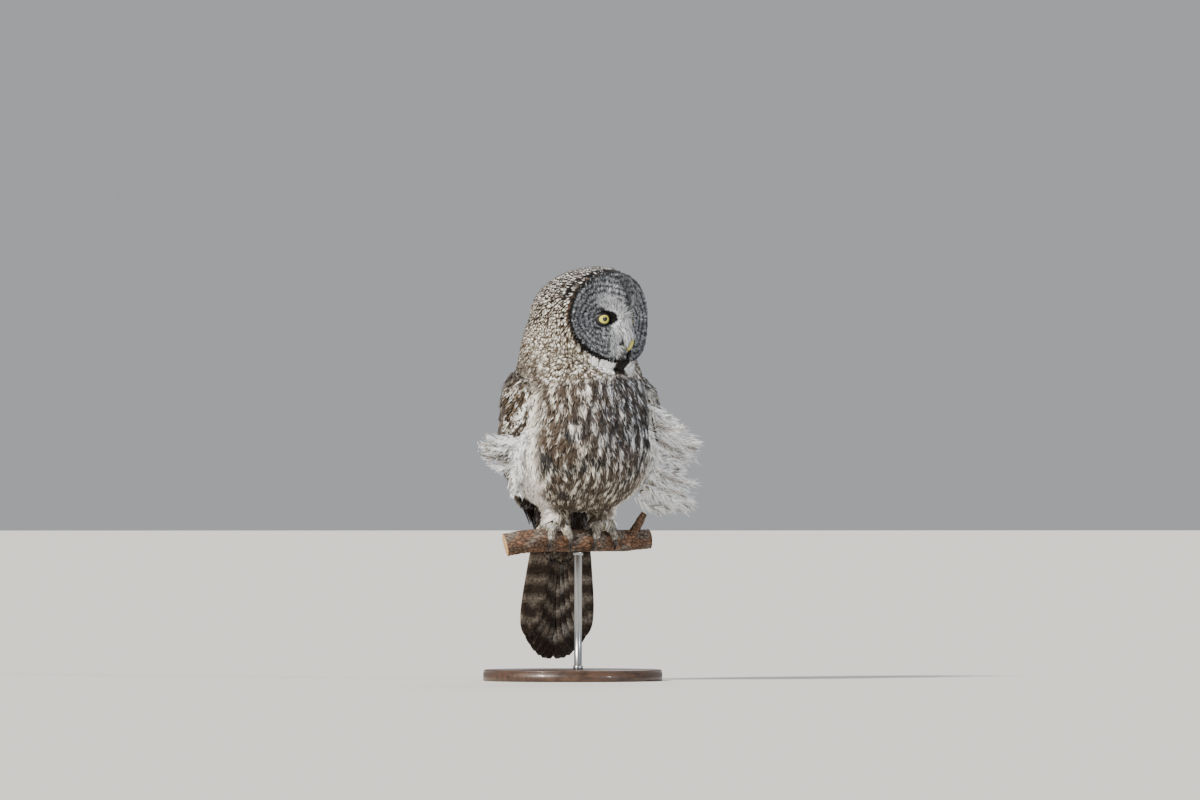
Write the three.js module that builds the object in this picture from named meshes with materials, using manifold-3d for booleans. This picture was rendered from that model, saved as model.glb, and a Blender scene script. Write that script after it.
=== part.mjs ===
// A great grey owl, life size, perched on a cut length of pine stem that a plain display stand
// holds. Millimetres, +Z up. The origin is on the underside of the stand's base, under the perch.
// The body faces -Y and the bird's own left is +X. The head is turned towards the bird's left.

import * as THREE from "three";
import { mergeVertices } from "three/addons/utils/BufferGeometryUtils.js";
import Module from "manifold-3d";

const wasm = await Module();
wasm.setup();

// Driving dimensions
const GAP = 0.3;
const TIDY_WITHIN = 0.13;
const BASE = { radius: 140, thickness: 18, chamfer: 3, centreY: 24 };
const ROD_RADIUS = 6;
const PERCH = { radius: 17, centreZ: 219, halfLength: 118, sag: 7 };
const SEED = 11;
const HEAD = { x: 10, y: -25, z: 566, yawDeg: 24 };
const DISC = { side: 84, top: 71, bottom: 69 };
const SKULL = { side: 90, top: 81, bottom: 98, back: 97 };
const EYE = { lateral: 26, up: -3, forward: 54.5, radius: 11.5, outDeg: 18, apertureWide: 8.8, apertureHigh: 6.6 };
const LEG = { x: 38, y: -2 };
const TOE = { rootRadius: 8.5, tipRadius: 6.2, sides: 7, steps: 3 };
const TAIL = { rootY: 66, rootZ: 322, tipY: 112, tipZ: 33, pairs: 6 };
const FEATHER = { thickness: 0.9, edgeShare: 0.6, pitch: 2.3, tailPitch: 1.4, overlap: 0.68 };

// The torso and neck from the legs up: height, half width, and how far the front and back stand
const TORSO = [
  { z: 264, wide: 30, front: -24, back: 44 },
  { z: 269, wide: 52, front: -44, back: 60 },
  { z: 279, wide: 73, front: -63, back: 74 },
  { z: 297, wide: 94, front: -85, back: 87 },
  { z: 320, wide: 109, front: -102, back: 96 },
  { z: 350, wide: 117, front: -113, back: 102 },
  { z: 385, wide: 118, front: -117, back: 103 },
  { z: 420, wide: 115, front: -114, back: 100 },
  { z: 450, wide: 109, front: -108, back: 97 },
  { z: 474, wide: 102, front: -99, back: 95 },
  { z: 502, wide: 95, front: -86, back: 91 },
  { z: 535, wide: 88, front: -70, back: 87 },
  { z: 566, wide: 77, front: -50, back: 78 },
  { z: 592, wide: 57, front: -30, back: 60 },
];

// What a folded wing lies on: the torso, and below it the line of the rump and tail
const WING_BED = [
  { z: 60, wide: 36, front: 106, back: 116 },
  { z: 100, wide: 40, front: 98, back: 110 },
  { z: 150, wide: 46, front: 86, back: 102 },
  { z: 200, wide: 56, front: 72, back: 97 },
  { z: 250, wide: 76, front: 20, back: 96 },
  { z: 290, wide: 99, front: -60, back: 96 },
];

// Edges of the folded wing from wrist (0) to tip (1): degrees forward of the side, and height
const WING_FRONT_EDGE = [
  [0, 22, 462],
  [0.1, 27, 432],
  [0.2, 22, 400],
  [0.32, 2, 368],
  [0.45, -22, 330],
  [0.6, -42, 275],
  [0.8, -56, 190],
  [1, -60, 102],
];
const WING_BACK_EDGE = [
  [0, -34, 480],
  [0.1, -58, 456],
  [0.2, -70, 424],
  [0.32, -77, 385],
  [0.45, -81, 340],
  [0.6, -84, 280],
  [0.8, -86, 200],
  [1, -87, 130],
];

// Numbers and curves
function seededRandom(seed) {
  let state = seed;
  return () => {
    state = (state + 0x6d2b79f5) | 0;
    let t = Math.imul(state ^ (state >>> 15), 1 | state);
    t = (t + Math.imul(t ^ (t >>> 7), 61 | t)) ^ t;
    return ((t ^ (t >>> 14)) >>> 0) / 4294967296;
  };
}

const mix = (a, b, t) => a + (b - a) * t;
const radians = (degrees) => (degrees * Math.PI) / 180;
const bell = (x, width) => Math.exp(-((x / width) ** 2));

// A smooth curve through points sorted by x, which doesn't overshoot and goes on straight beyond them
function curveThrough(xs, ys) {
  const secant = xs.slice(1).map((x, i) => (ys[i + 1] - ys[i]) / (x - xs[i]));
  const slope = xs.map((_, i) => {
    const before = secant[Math.max(0, i - 1)];
    const after = secant[Math.min(secant.length - 1, i)];
    if (before * after <= 0) return 0;
    const most = 3 * Math.min(Math.abs(before), Math.abs(after));
    return Math.sign(after) * Math.min(most, Math.abs(before + after) / 2);
  });
  const last = xs.length - 1;
  return (x) => {
    if (x < xs[0]) return ys[0] + slope[0] * (x - xs[0]);
    if (x > xs[last]) return ys[last] + slope[last] * (x - xs[last]);
    let i = 0;
    while (i < last - 1 && x > xs[i + 1]) i++;
    const step = xs[i + 1] - xs[i];
    const t = (x - xs[i]) / step;
    return (
      ys[i] * (1 + 2 * t) * (1 - t) ** 2 +
      slope[i] * step * t * (1 - t) ** 2 +
      ys[i + 1] * t * t * (3 - 2 * t) +
      slope[i + 1] * step * t * t * (t - 1)
    );
  };
}

function profileOf(stations) {
  const heights = stations.map((s) => s.z);
  const curves = ["wide", "front", "back"].map((key) => curveThrough(heights, stations.map((s) => s[key])));
  return (z) => {
    const [wide, front, back] = curves.map((curve) => curve(z));
    return { wide, deep: (back - front) / 2, centreY: (back + front) / 2 };
  };
}

function edgeOf(points) {
  const us = points.map((p) => p[0]);
  const turn = curveThrough(us, points.map((p) => p[1]));
  const height = curveThrough(us, points.map((p) => p[2]));
  return (u) => [turn(u), height(u)];
}

// Solids
function solidOf(points, triangles) {
  const flat = new Float32Array(points.flatMap((p) => [p.x, p.y, p.z]));
  const facing = (faces) =>
    new wasm.Manifold(new wasm.Mesh({ numProp: 3, vertProperties: flat, triVerts: new Uint32Array(faces) }));
  const made = facing(triangles);
  if (made.volume() > 0) return made;
  const turned = [];
  for (let i = 0; i < triangles.length; i += 3) turned.push(triangles[i], triangles[i + 2], triangles[i + 1]);
  return facing(turned);
}

function solidOfGeometry(geometry) {
  const bare = new THREE.BufferGeometry().setAttribute("position", geometry.getAttribute("position"));
  if (geometry.index) bare.setIndex(geometry.index);
  const merged = mergeVertices(bare, 1e-3);
  const place = merged.getAttribute("position");
  const points = [];
  for (let i = 0; i < place.count; i++) points.push(new THREE.Vector3().fromBufferAttribute(place, i));
  return solidOf(points, Array.from(merged.index.array));
}

// A closed surface through rings of as many points each. Its ends close on a point each where one
// is given, and otherwise on a flat fan.
function surfaceThrough(rings, firstPole, lastPole) {
  const sides = rings[0].length;
  const points = rings.flat();
  const triangles = [];
  for (let i = 0; i + 1 < rings.length; i++) {
    for (let j = 0; j < sides; j++) {
      const a = i * sides + j;
      const b = i * sides + ((j + 1) % sides);
      triangles.push(a, b, b + sides, a, b + sides, a + sides);
    }
  }
  const last = (rings.length - 1) * sides;
  if (firstPole) {
    for (let j = 0; j < sides; j++) triangles.push(points.length, (j + 1) % sides, j);
    points.push(firstPole);
  } else {
    for (let j = 1; j + 1 < sides; j++) triangles.push(0, j + 1, j);
  }
  if (lastPole) {
    for (let j = 0; j < sides; j++) triangles.push(points.length, last + j, last + ((j + 1) % sides));
    points.push(lastPole);
  } else {
    for (let j = 1; j + 1 < sides; j++) triangles.push(last, last + j, last + j + 1);
  }
  return solidOf(points, triangles);
}

// A closed thin slab between two sheets of points in rows, whose two faces are split alike, so they
// can't cross where it bends
function slab(upper, lower) {
  const [rows, columns] = [upper.length, upper[0].length];
  const points = [...upper.flat(), ...lower.flat()];
  const over = (i, k) => i * columns + k;
  const under = (i, k) => rows * columns + over(i, k);
  const triangles = [];
  const addQuad = (a, b, c, d) => triangles.push(a, b, c, a, c, d);
  for (let i = 0; i + 1 < rows; i++) {
    for (let k = 0; k + 1 < columns; k++) {
      addQuad(over(i, k), over(i, k + 1), over(i + 1, k + 1), over(i + 1, k));
      const [a, b, c, d] = [under(i, k), under(i, k + 1), under(i + 1, k + 1), under(i + 1, k)];
      triangles.push(a, c, b, a, d, c);
    }
    const edge = columns - 1;
    addQuad(over(i, 0), over(i + 1, 0), under(i + 1, 0), under(i, 0));
    addQuad(over(i + 1, edge), over(i, edge), under(i, edge), under(i + 1, edge));
  }
  for (let k = 0; k + 1 < columns; k++) {
    const end = rows - 1;
    addQuad(over(0, k + 1), over(0, k), under(0, k), under(0, k + 1));
    addQuad(over(end, k), over(end, k + 1), under(end, k + 1), under(end, k));
  }
  return solidOf(points, triangles);
}

// The largest closed surface of a solid, with sealed hollows filled and loose scraps dropped
function largestOf(solid) {
  return solid.decompose().reduce((most, piece) => (piece.volume() > most.volume() ? piece : most));
}

const tidied = (solid) => largestOf(largestOf(solid).simplify(TIDY_WITHIN));

const joined = (solids) => solids.reduce((whole, piece) => whole.add(piece));

// The same solid with each vertex moved out along its normal
function grown(solid, distance) {
  const mesh = solid.getMesh();
  const points = [];
  for (let i = 0; i < mesh.numVert; i++) {
    points.push(new THREE.Vector3().fromArray(mesh.vertProperties, i * mesh.numProp));
  }
  const normals = points.map(() => new THREE.Vector3());
  for (let t = 0; t < mesh.numTri; t++) {
    const [a, b, c] = mesh.triVerts.subarray(3 * t, 3 * t + 3);
    const facing = points[b].clone().sub(points[a]).cross(points[c].clone().sub(points[a]));
    for (const corner of [a, b, c]) normals[corner].add(facing);
  }
  const moved = points.map((p, i) => p.clone().addScaledVector(normals[i].normalize(), distance));
  return solidOf(moved, Array.from(mesh.triVerts));
}

// Everything on the side of a plane that its normal points to
function halfSpace(point, normal) {
  const size = 900;
  const geometry = new THREE.BoxGeometry(size, size, size).translate(0, 0, size / 2);
  geometry.applyQuaternion(new THREE.Quaternion().setFromUnitVectors(new THREE.Vector3(0, 0, 1), normal));
  return solidOfGeometry(geometry.translate(point.x, point.y, point.z));
}

// A tube of round or oval section along a path, whose sections keep their first axis near `side`
function tube(path, radii, side, sides, depths = radii) {
  const rings = path.map((centre, i) => {
    const along = path[Math.min(i + 1, path.length - 1)].clone().sub(path[Math.max(i - 1, 0)]).normalize();
    const up = along.clone().cross(side).normalize();
    const across = up.clone().cross(along).normalize();
    return Array.from({ length: sides }, (_, j) => {
      const turn = (2 * Math.PI * j) / sides;
      return centre
        .clone()
        .addScaledVector(across, radii[i] * Math.cos(turn))
        .addScaledVector(up, depths[i] * Math.sin(turn));
    });
  });
  return surfaceThrough(rings);
}

// Feathers
const VANE_STATIONS = [0, 0.5, 0.86, 1];
const VANE_WIDTH = [0.85, 1, 0.9, 0.25];
const LOCK_STATIONS = [0, 0.35, 0.7, 1];
const LOCK_WIDTH = [0.7, 1, 0.7, 0.1];

// A vane through stations of a left, a middle and a right point, thickened along their normal and
// thinner at its edges and tip
function vane(stations, thickness) {
  const face = (side) =>
    stations.map(({ left, middle, right, normal }, i) => {
      const lift = (side * thickness * mix(1, 0.7, i / (stations.length - 1))) / 2;
      const raised = (point, by) => point.clone().addScaledVector(normal, by);
      return [raised(left, lift * FEATHER.edgeShare), raised(middle, lift), raised(right, lift * FEATHER.edgeShare)];
    });
  return slab(face(1), face(-1));
}

// One of a tier of vanes that lie side by side. ribbon(share, t, lift) gives points of the tier,
// where share runs across it and t along the feathers. Neighbours lie parallel, one over the next.
function tierVane(ribbon, index, count, order, length = 1) {
  const stations = VANE_STATIONS.map((t, i) => {
    const reachAcross = FEATHER.overlap * VANE_WIDTH[i];
    const at = (side, lift = 0) =>
      ribbon((index + side * reachAcross) / (count - 1), t * length, lift - order * side * FEATHER.pitch * reachAcross);
    const middle = at(0);
    return { left: at(-1), middle, right: at(1), normal: at(0, 1).sub(middle).normalize() };
  });
  return vane(stations, FEATHER.thickness);
}

// A flat lock of loose feathers along a bend from root to tip, facing a given way
function lock(root, bend, tip, half, facing, thickness) {
  const path = new THREE.QuadraticBezierCurve3(root, bend, tip);
  const face = (side) =>
    LOCK_STATIONS.map((t, i) => {
      const along = path.getTangent(t);
      const across = along.clone().cross(facing).normalize();
      const normal = across.clone().cross(along).normalize();
      const middle = path.getPoint(t).addScaledVector(normal, side * thickness * mix(0.5, 0.3, t));
      return [-1, 1].map((sideways) => middle.clone().addScaledVector(across, sideways * half * LOCK_WIDTH[i]));
    });
  return slab(face(1), face(-1));
}

// Body
const torsoAt = profileOf(TORSO);
const wingBedAt = profileOf([...WING_BED, ...TORSO.filter((s) => s.z >= 320)]);

// A point at a height, some degrees forward of the side, and a distance out from the surface
function onBody(profile, side, turnDeg, z, out) {
  const { wide, deep, centreY } = profile(z);
  const turn = radians(turnDeg);
  return new THREE.Vector3(
    side * (wide + out) * Math.cos(turn),
    centreY - (deep + out) * Math.sin(turn),
    z,
  );
}

function bodyLoft() {
  const sides = 32;
  const rows = 16;
  const [lowest, highest] = [TORSO[0].z, TORSO[TORSO.length - 1].z];
  const rings = Array.from({ length: rows + 1 }, (_, i) => {
    const z = mix(lowest, highest, (i / rows) ** 1.25);
    return Array.from({ length: sides }, (__, j) => onBody(torsoAt, 1, (360 * j) / sides, z, 0));
  });
  const foot = torsoAt(lowest);
  const top = torsoAt(highest);
  return surfaceThrough(
    rings,
    new THREE.Vector3(0, foot.centreY, lowest - 1.5),
    new THREE.Vector3(0, top.centreY, highest + 8),
  );
}

// Head, in its own axes: u to the bird's left, v up, w forward
const headTurn = radians(HEAD.yawDeg);
const headAxes = {
  left: new THREE.Vector3(Math.cos(headTurn), Math.sin(headTurn), 0),
  up: new THREE.Vector3(0, 0, 1),
  forward: new THREE.Vector3(Math.sin(headTurn), -Math.cos(headTurn), 0),
};

const onHead = (u, v, w) =>
  new THREE.Vector3(HEAD.x, HEAD.y, HEAD.z)
    .addScaledVector(headAxes.left, u)
    .addScaledVector(headAxes.up, v)
    .addScaledVector(headAxes.forward, w);

// The ridge that runs down the middle of the face, from the crown to the chin
const faceRidge = curveThrough([-95, -78, -60, -45, -28, 0, 20, 45, 60, 75], [76, 84, 79, 76, 84, 91, 89, 78, 68, 57]);

// A shape's reach in a direction of the face, from its sides, top and bottom
function reach(shape, sine) {
  return mix(shape.side, sine > 0 ? shape.top : shape.bottom, sine * sine);
}

// How far forward the facial disc stands: swept back to its sides, with a ridge between the eyes,
// a shallow dish round each eye and a raised rim
function discForward(u, v, share) {
  const bow = 66 - 23 * (u / DISC.side) ** 2 - (v > 0 ? 8 : -9) * (v / DISC.top) ** 2;
  const ridgeWidth = 13 + 6 * bell(v - 22, 22);
  const ridge = (faceRidge(v) - (66 - (v > 0 ? 8 : -9) * (v / DISC.top) ** 2)) * bell(u, ridgeWidth);
  const dish = -5 * bell(Math.hypot(Math.abs(u) - 42, v + 4), 30);
  const rim = 4 * bell(share - 0.97, 0.1);
  return bow + ridge + dish + rim;
}

function headLoft() {
  const sides = 40;
  const discShares = [0.09, 0.18, 0.27, 0.37, 0.48, 0.6, 0.72, 0.83, 0.92, 1];
  const shellRows = 10;
  const rings = [...discShares.map(() => []), ...Array.from({ length: shellRows }, () => [])];
  for (let j = 0; j < sides; j++) {
    const turn = (2 * Math.PI * j) / sides;
    const [c, s] = [Math.cos(turn), Math.sin(turn)];
    const disc = reach(DISC, s);
    discShares.forEach((share, i) => {
      const [u, v] = [share * disc * c, share * disc * s];
      rings[i].push(onHead(u, v, discForward(u, v, share)));
    });
    const shell = reach(SKULL, s);
    const middle = -3 + 22 * Math.max(0, s) ** 2;
    const rimForward = discForward(disc * c, disc * s, 1);
    const rimTurn = Math.acos(disc / shell);
    const front = (rimForward - middle) / Math.sin(rimTurn);
    for (let k = 1; k <= shellRows; k++) {
      const lie = mix(-rimTurn, Math.PI / 2, k / (shellRows + 1));
      const out = shell * Math.cos(lie);
      const w = lie < 0 ? middle - front * Math.sin(lie) : middle - (middle + SKULL.back) * Math.sin(lie);
      rings[discShares.length + k - 1].push(onHead(out * c, out * s, w));
    }
  }
  return surfaceThrough(rings, onHead(0, 0, discForward(0, 0, 0)), onHead(0, 0, -SKULL.back));
}

// An eye's own axes: its centre, and the turn that points +Y of a lathe along its gaze
function eyePlace(side) {
  const out = radians(EYE.outDeg) * side;
  const gaze = headAxes.forward
    .clone()
    .multiplyScalar(Math.cos(out))
    .addScaledVector(headAxes.left, Math.sin(out));
  return { centre: onHead(side * EYE.lateral, EYE.up, EYE.forward), gaze };
}

// A turned shape whose axis is the eye's gaze, squeezed in height
function onEye(geometry, side, heightShare) {
  const { centre, gaze } = eyePlace(side);
  const sideways = headAxes.up.clone().cross(gaze).normalize();
  const axes = new THREE.Matrix4().makeBasis(
    sideways,
    gaze,
    headAxes.up.clone().multiplyScalar(-heightShare),
  );
  return solidOfGeometry(geometry.applyMatrix4(axes.setPosition(centre)));
}

const eyeball = (side, radius) => onEye(new THREE.SphereGeometry(radius, 14, 8), side, 1);

function eyelids(side) {
  const rim = EYE.apertureWide;
  const profile = [
    [rim, 6],
    [rim + 0.8, 10.4],
    [rim + 2.6, 10.6],
    [rim + 6, 5],
    [rim, 6],
  ].map(([r, along]) => new THREE.Vector2(r, along));
  return onEye(new THREE.LatheGeometry(profile, 16), side, EYE.apertureHigh / EYE.apertureWide);
}

// Bill: centre line as forward and up, and the half width and half height of each section
function billTube(sections, sides) {
  const path = sections.map(([w, v]) => onHead(0, v, w));
  return tube(
    path,
    sections.map((s) => s[2]),
    headAxes.left,
    sides,
    sections.map((s) => s[3]),
  );
}

function billParts() {
  const upper = billTube(
    [
      [66, -10, 8, 9],
      [80, -17, 8.4, 10],
      [87, -27, 8, 9.6],
      [90, -37, 6.6, 7.4],
      [88.5, -46, 4, 4.6],
      [84.5, -53, 0.8, 0.9],
    ],
    12,
  );
  const nostrils = [-1, 1].map((side) =>
    solidOfGeometry(
      new THREE.SphereGeometry(1.7, 8, 6).translate(...onHead(side * 7.6, -20, 88).toArray()),
    ),
  );
  const lower = billTube(
    [
      [60, -40, 7, 5],
      [71, -46, 6.6, 4.6],
      [78, -52, 5, 3.4],
      [81.5, -57.5, 1, 1],
    ],
    12,
  );
  return {
    upperBlank: upper,
    upper: upper.subtract(joined(nostrils)),
    lower: largestOf(lower.subtract(grown(upper, 0.4))),
  };
}

// Wings
const wingFront = edgeOf(WING_FRONT_EDGE);
const wingBack = edgeOf(WING_BACK_EDGE);

function wingSheet(side) {
  return (u, v, out) => {
    const [frontTurn, frontZ] = wingFront(u);
    const [backTurn, backZ] = wingBack(u);
    return onBody(wingBedAt, side, mix(frontTurn, backTurn, v), mix(frontZ, backZ, v), out);
  };
}

// How thick the folded wing's flesh and small feathers are, for the roots to sink in
const coreRise = curveThrough([0, 0.08, 0.2, 0.36, 0.56], [1.5, 8.5, 9, 6.5, 2.2]);

function wingCore(side, margin = 0, rise = 0) {
  const sheet = wingSheet(side);
  const [along, across] = [6, 4];
  const share = (k, n) => mix(-margin, 1 + margin, k / n);
  const face = (heightAt) =>
    Array.from({ length: along + 1 }, (_, i) =>
      Array.from({ length: across + 1 }, (__, j) => {
        const [u, v] = [mix(0, 0.56, share(i, along)), share(j, across)];
        return sheet(u, v, heightAt(u, v));
      }),
    );
  const rounded = (v) => (rise ? 1 : Math.max(0, 1 - (2 * v - 1) ** 4));
  return slab(face((u, v) => 0.8 + rise + coreRise(u) * rounded(v)), face(() => -5));
}

// Tiers of the folded wing from the lowest to the topmost: how far along the wing the first and
// last feather's roots and tips are, how far across, and their height over the torso
const WING_TIERS = [
  { count: 5, root: [0.5, 0.52], tip: [1, 0.84], across: [0.2, 0.62], tipAcross: [0.12, 0.74], out: [1.2, 1.8] },
  { count: 6, root: [0.34, 0.4], tip: [0.68, 0.76], across: [0.12, 0.9], tipAcross: [0.14, 0.9], out: [3.2, 6] },
  { count: 6, root: [0.2, 0.24], tip: [0.46, 0.54], across: [0.08, 0.92], tipAcross: [0.08, 0.92], out: [5, 9.6] },
  { count: 5, root: [0.08, 0.12], tip: [0.3, 0.36], across: [0.1, 0.9], tipAcross: [0.1, 0.9], out: [6, 11.6] },
  { count: 5, root: [0, 0.02], tip: [0.16, 0.2], across: [0.12, 0.9], tipAcross: [0.12, 0.9], out: [4, 13.4] },
];

function wing(side, cutter) {
  const random = seededRandom(SEED + side);
  const sheet = wingSheet(side);
  const pieces = [wingCore(side)];
  for (const { count, root, tip, across, tipAcross, out } of WING_TIERS) {
    const ribbon = (share, t, lift) =>
      sheet(
        mix(mix(...root, share), mix(...tip, share), t),
        mix(mix(...across, share), mix(...tipAcross, share), t),
        mix(...out, t) + lift,
      );
    for (let i = 0; i < count; i++) pieces.push(tierVane(ribbon, i, count, -1, 1 - 0.06 * random()));
  }
  return tidied(joined(pieces).subtract(cutter));
}

// Tail
const tailLine = (t, out) =>
  new THREE.Vector3(0, mix(TAIL.rootY, TAIL.tipY, t) + out * 0.99, mix(TAIL.rootZ, TAIL.tipZ, t) + out * 0.14);

function tailCore() {
  const coverts = [
    { t: -0.06, wide: 40, deep: 22 },
    { t: 0.1, wide: 46, deep: 20 },
    { t: 0.25, wide: 44, deep: 13 },
    { t: 0.38, wide: 36, deep: 6 },
    { t: 0.45, wide: 24, deep: 2.5 },
  ];
  return tube(
    coverts.map(({ t }) => tailLine(t, 0)),
    coverts.map(({ wide }) => wide),
    new THREE.Vector3(1, 0, 0),
    20,
    coverts.map(({ deep }) => deep),
  );
}

function tail(bodyCutter) {
  const pieces = [tailCore()];
  for (let i = 0; i < TAIL.pairs; i++) {
    for (const side of [-1, 1]) {
      // The middle pair lies outermost on the back, and each pair further out lies under the last
      const layer = (TAIL.pairs / 2 - i) * FEATHER.tailPitch - (side > 0 ? FEATHER.tailPitch / 2 : 0);
      const stations = VANE_STATIONS.map((t, k) => {
        const length = mix(0.1, 1 - 0.005 * i * i, t);
        const x = side * mix(3 + 3.4 * i, 7 + 8 * i, t);
        const half = 20 * VANE_WIDTH[k];
        const at = (sideways, lift) => tailLine(length, layer + lift).add(new THREE.Vector3(x + sideways, 0, 0));
        const middle = at(0, 0);
        return { left: at(-half, -0.5), middle, right: at(half, -0.5), normal: at(0, 1).sub(middle).normalize() };
      });
      pieces.push(vane(stations, FEATHER.thickness));
    }
  }
  return tidied(joined(pieces).subtract(bodyCutter));
}

// Locks of flank feathers. Roots are degrees forward of the side and height on the torso, and tips
// are places: across, back and up. Between a group's first and last lock they are spread evenly.
const FLANK_LOCKS = [
  { side: -1, count: 5, root: [[44, 392], [24, 326]], tip: [[-104, -52, 352], [-108, -14, 286]], half: 10 },
  { side: 1, count: 5, root: [[44, 392], [24, 326]], tip: [[104, -56, 346], [108, -16, 284]], half: 10 },
  { side: 1, count: 4, root: [[38, 428], [34, 396]], tip: [[138, -44, 404], [186, -38, 374]], half: 10 },
  { side: 1, count: 6, root: [[30, 396], [24, 350]], tip: [[188, -30, 364], [166, -28, 326]], half: 10 },
  { side: 1, count: 5, root: [[26, 344], [20, 304]], tip: [[168, -30, 312], [180, -22, 264]], half: 9 },
  { side: 1, count: 4, root: [[32, 334], [28, 300]], tip: [[188, -36, 298], [160, -30, 262]], half: 8 },
  { side: -1, count: 5, root: [[30, 384], [22, 352]], tip: [[-158, -30, 378], [-160, -16, 350]], half: 7 },
];

function flankLocks() {
  const random = seededRandom(SEED);
  const vary = (amount) => (random() - 0.5) * amount;
  const towardsViewer = new THREE.Vector3(-0.34, -0.94, 0);
  return FLANK_LOCKS.flatMap(({ side, count, root, tip, half }) =>
    Array.from({ length: count }, (_, i) => {
      const share = i / (count - 1);
      const [turn, z] = [0, 1].map((k) => mix(root[0][k], root[1][k], share));
      const end = new THREE.Vector3(...[0, 1, 2].map((k) => mix(tip[0][k], tip[1][k], share) + vary(7)));
      const start = onBody(torsoAt, side, turn, z, -9);
      const leaving = onBody(torsoAt, side, turn - 6, z - 16, 10);
      const facing = towardsViewer.clone().addScaledVector(new THREE.Vector3(side, 0, 0.3), 0.5 + vary(0.8));
      return lock(start, leaving.lerp(end, 0.3), end, half, facing.normalize(), 2);
    }),
  );
}

// Legs and feet
function leg(side, bodyCutter) {
  const soleZ = PERCH.centreZ + PERCH.radius + 17.3;
  const path = [
    new THREE.Vector3(side * LEG.x, LEG.y, soleZ),
    new THREE.Vector3(side * LEG.x, LEG.y, soleZ + 14),
    new THREE.Vector3(side * (LEG.x + 1), LEG.y + 4, soleZ + 50),
  ];
  return tidied(tube(path, [12, 15, 20], new THREE.Vector3(1, 0, 0), 14).subtract(bodyCutter));
}

// Toes as degrees turned from the top of the perch to the front, and their place along it
const TOES = [
  { x: -10, splay: -7, front: true, reachDeg: 84 },
  { x: 9, splay: 7, front: true, reachDeg: 88 },
  { x: -8, splay: -5, front: false, reachDeg: 70 },
  { x: 10, splay: 11, front: false, reachDeg: 78 },
];

// A point beside the perch, turned from its top towards the front or the back
function roundPerch(x, turnDeg, front, radius) {
  const turn = radians(turnDeg);
  return new THREE.Vector3(
    x,
    (front ? -1 : 1) * radius * Math.sin(turn),
    PERCH.centreZ + radius * Math.cos(turn),
  );
}

function toe(side, { x, splay, front, reachDeg }) {
  const path = Array.from({ length: TOE.steps + 1 }, (_, i) => {
    const t = i / TOE.steps;
    const radius = mix(TOE.rootRadius, TOE.tipRadius, t);
    return roundPerch(
      side * (LEG.x + x + splay * t),
      mix(8, reachDeg, t),
      front,
      PERCH.radius + GAP + radius,
    );
  });
  const radii = path.map((_, i) => mix(TOE.rootRadius, TOE.tipRadius, i / TOE.steps));
  return tube(path, radii, new THREE.Vector3(1, 0, 0), TOE.sides);
}

function foot(side, perchCutter) {
  const pad = new THREE.SphereGeometry(1, 10, 6)
    .scale(19, 15, 12)
    .translate(side * (LEG.x + 1), LEG.y, PERCH.centreZ + PERCH.radius + 8);
  const toes = TOES.map((shape) => toe(side, shape));
  const flatTop = halfSpace(
    new THREE.Vector3(0, 0, PERCH.centreZ + PERCH.radius + 17),
    new THREE.Vector3(0, 0, 1),
  );
  const whole = joined([solidOfGeometry(pad), ...toes]);
  return tidied(whole.subtract(perchCutter).subtract(flatTop));
}

// A claw goes on from its toe's flat end and curves in under the perch
function claw(side, shape) {
  const { x, splay, front, reachDeg } = shape;
  const toeCutter = grown(toe(side, shape), GAP);
  const steps = 4;
  const path = Array.from({ length: steps + 1 }, (_, i) => {
    const t = i / steps;
    return roundPerch(
      side * (LEG.x + x + splay * (1 + 0.3 * t)),
      mix(reachDeg - 3, reachDeg + 58, t),
      front,
      PERCH.radius + mix(GAP + TOE.tipRadius, 2.2, t),
    );
  });
  const blank = tube(path, [3.4, 3.3, 2.6, 1.6, 0.4], new THREE.Vector3(1, 0, 0), 7);
  return largestOf(blank.subtract(toeCutter));
}

// Perch and stand
function perch() {
  const bends = [-1, -0.82, -0.66, -0.52, 0.52, 0.68, 0.84, 1];
  const path = bends.map((share) => {
    const x = share * PERCH.halfLength;
    const beyondFeet = Math.max(0, Math.abs(x) - 62) / (PERCH.halfLength - 62);
    const swing = x > 0 ? -0.4 : 1;
    return new THREE.Vector3(x, 5 * beyondFeet ** 2 * swing, PERCH.centreZ - PERCH.sag * beyondFeet ** 2 * swing);
  });
  const radii = path.map((p) => PERCH.radius + (p.x < -62 ? 1 : 0) - (p.x > 90 ? 1.5 : 0));
  const stem = tube(path, radii, new THREE.Vector3(0, 1, 0), 16);
  const twig = tube(
    [new THREE.Vector3(86, 0, 221), new THREE.Vector3(98, -8, 246), new THREE.Vector3(106, -12, 262)],
    [8, 6, 5],
    new THREE.Vector3(0, 1, 0),
    10,
  );
  return tidied(joined([stem, twig]));
}

function standRod(perchCutter) {
  const foot = BASE.thickness + GAP;
  const length = PERCH.centreZ - foot;
  const geometry = new THREE.CylinderGeometry(ROD_RADIUS, ROD_RADIUS, length, 20);
  geometry.rotateX(Math.PI / 2).translate(0, 0, foot + length / 2);
  return tidied(solidOfGeometry(geometry).subtract(perchCutter));
}

function standBase() {
  const { radius, thickness, chamfer, centreY } = BASE;
  const profile = [
    [0, 0],
    [radius - 1, 0],
    [radius, 1],
    [radius, thickness - chamfer],
    [radius - chamfer, thickness],
    [0, thickness],
  ].map(([r, z]) => new THREE.Vector2(r, z));
  const geometry = new THREE.LatheGeometry(profile, 40);
  return solidOfGeometry(geometry.rotateX(Math.PI / 2).translate(0, centreY, 0));
}

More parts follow.
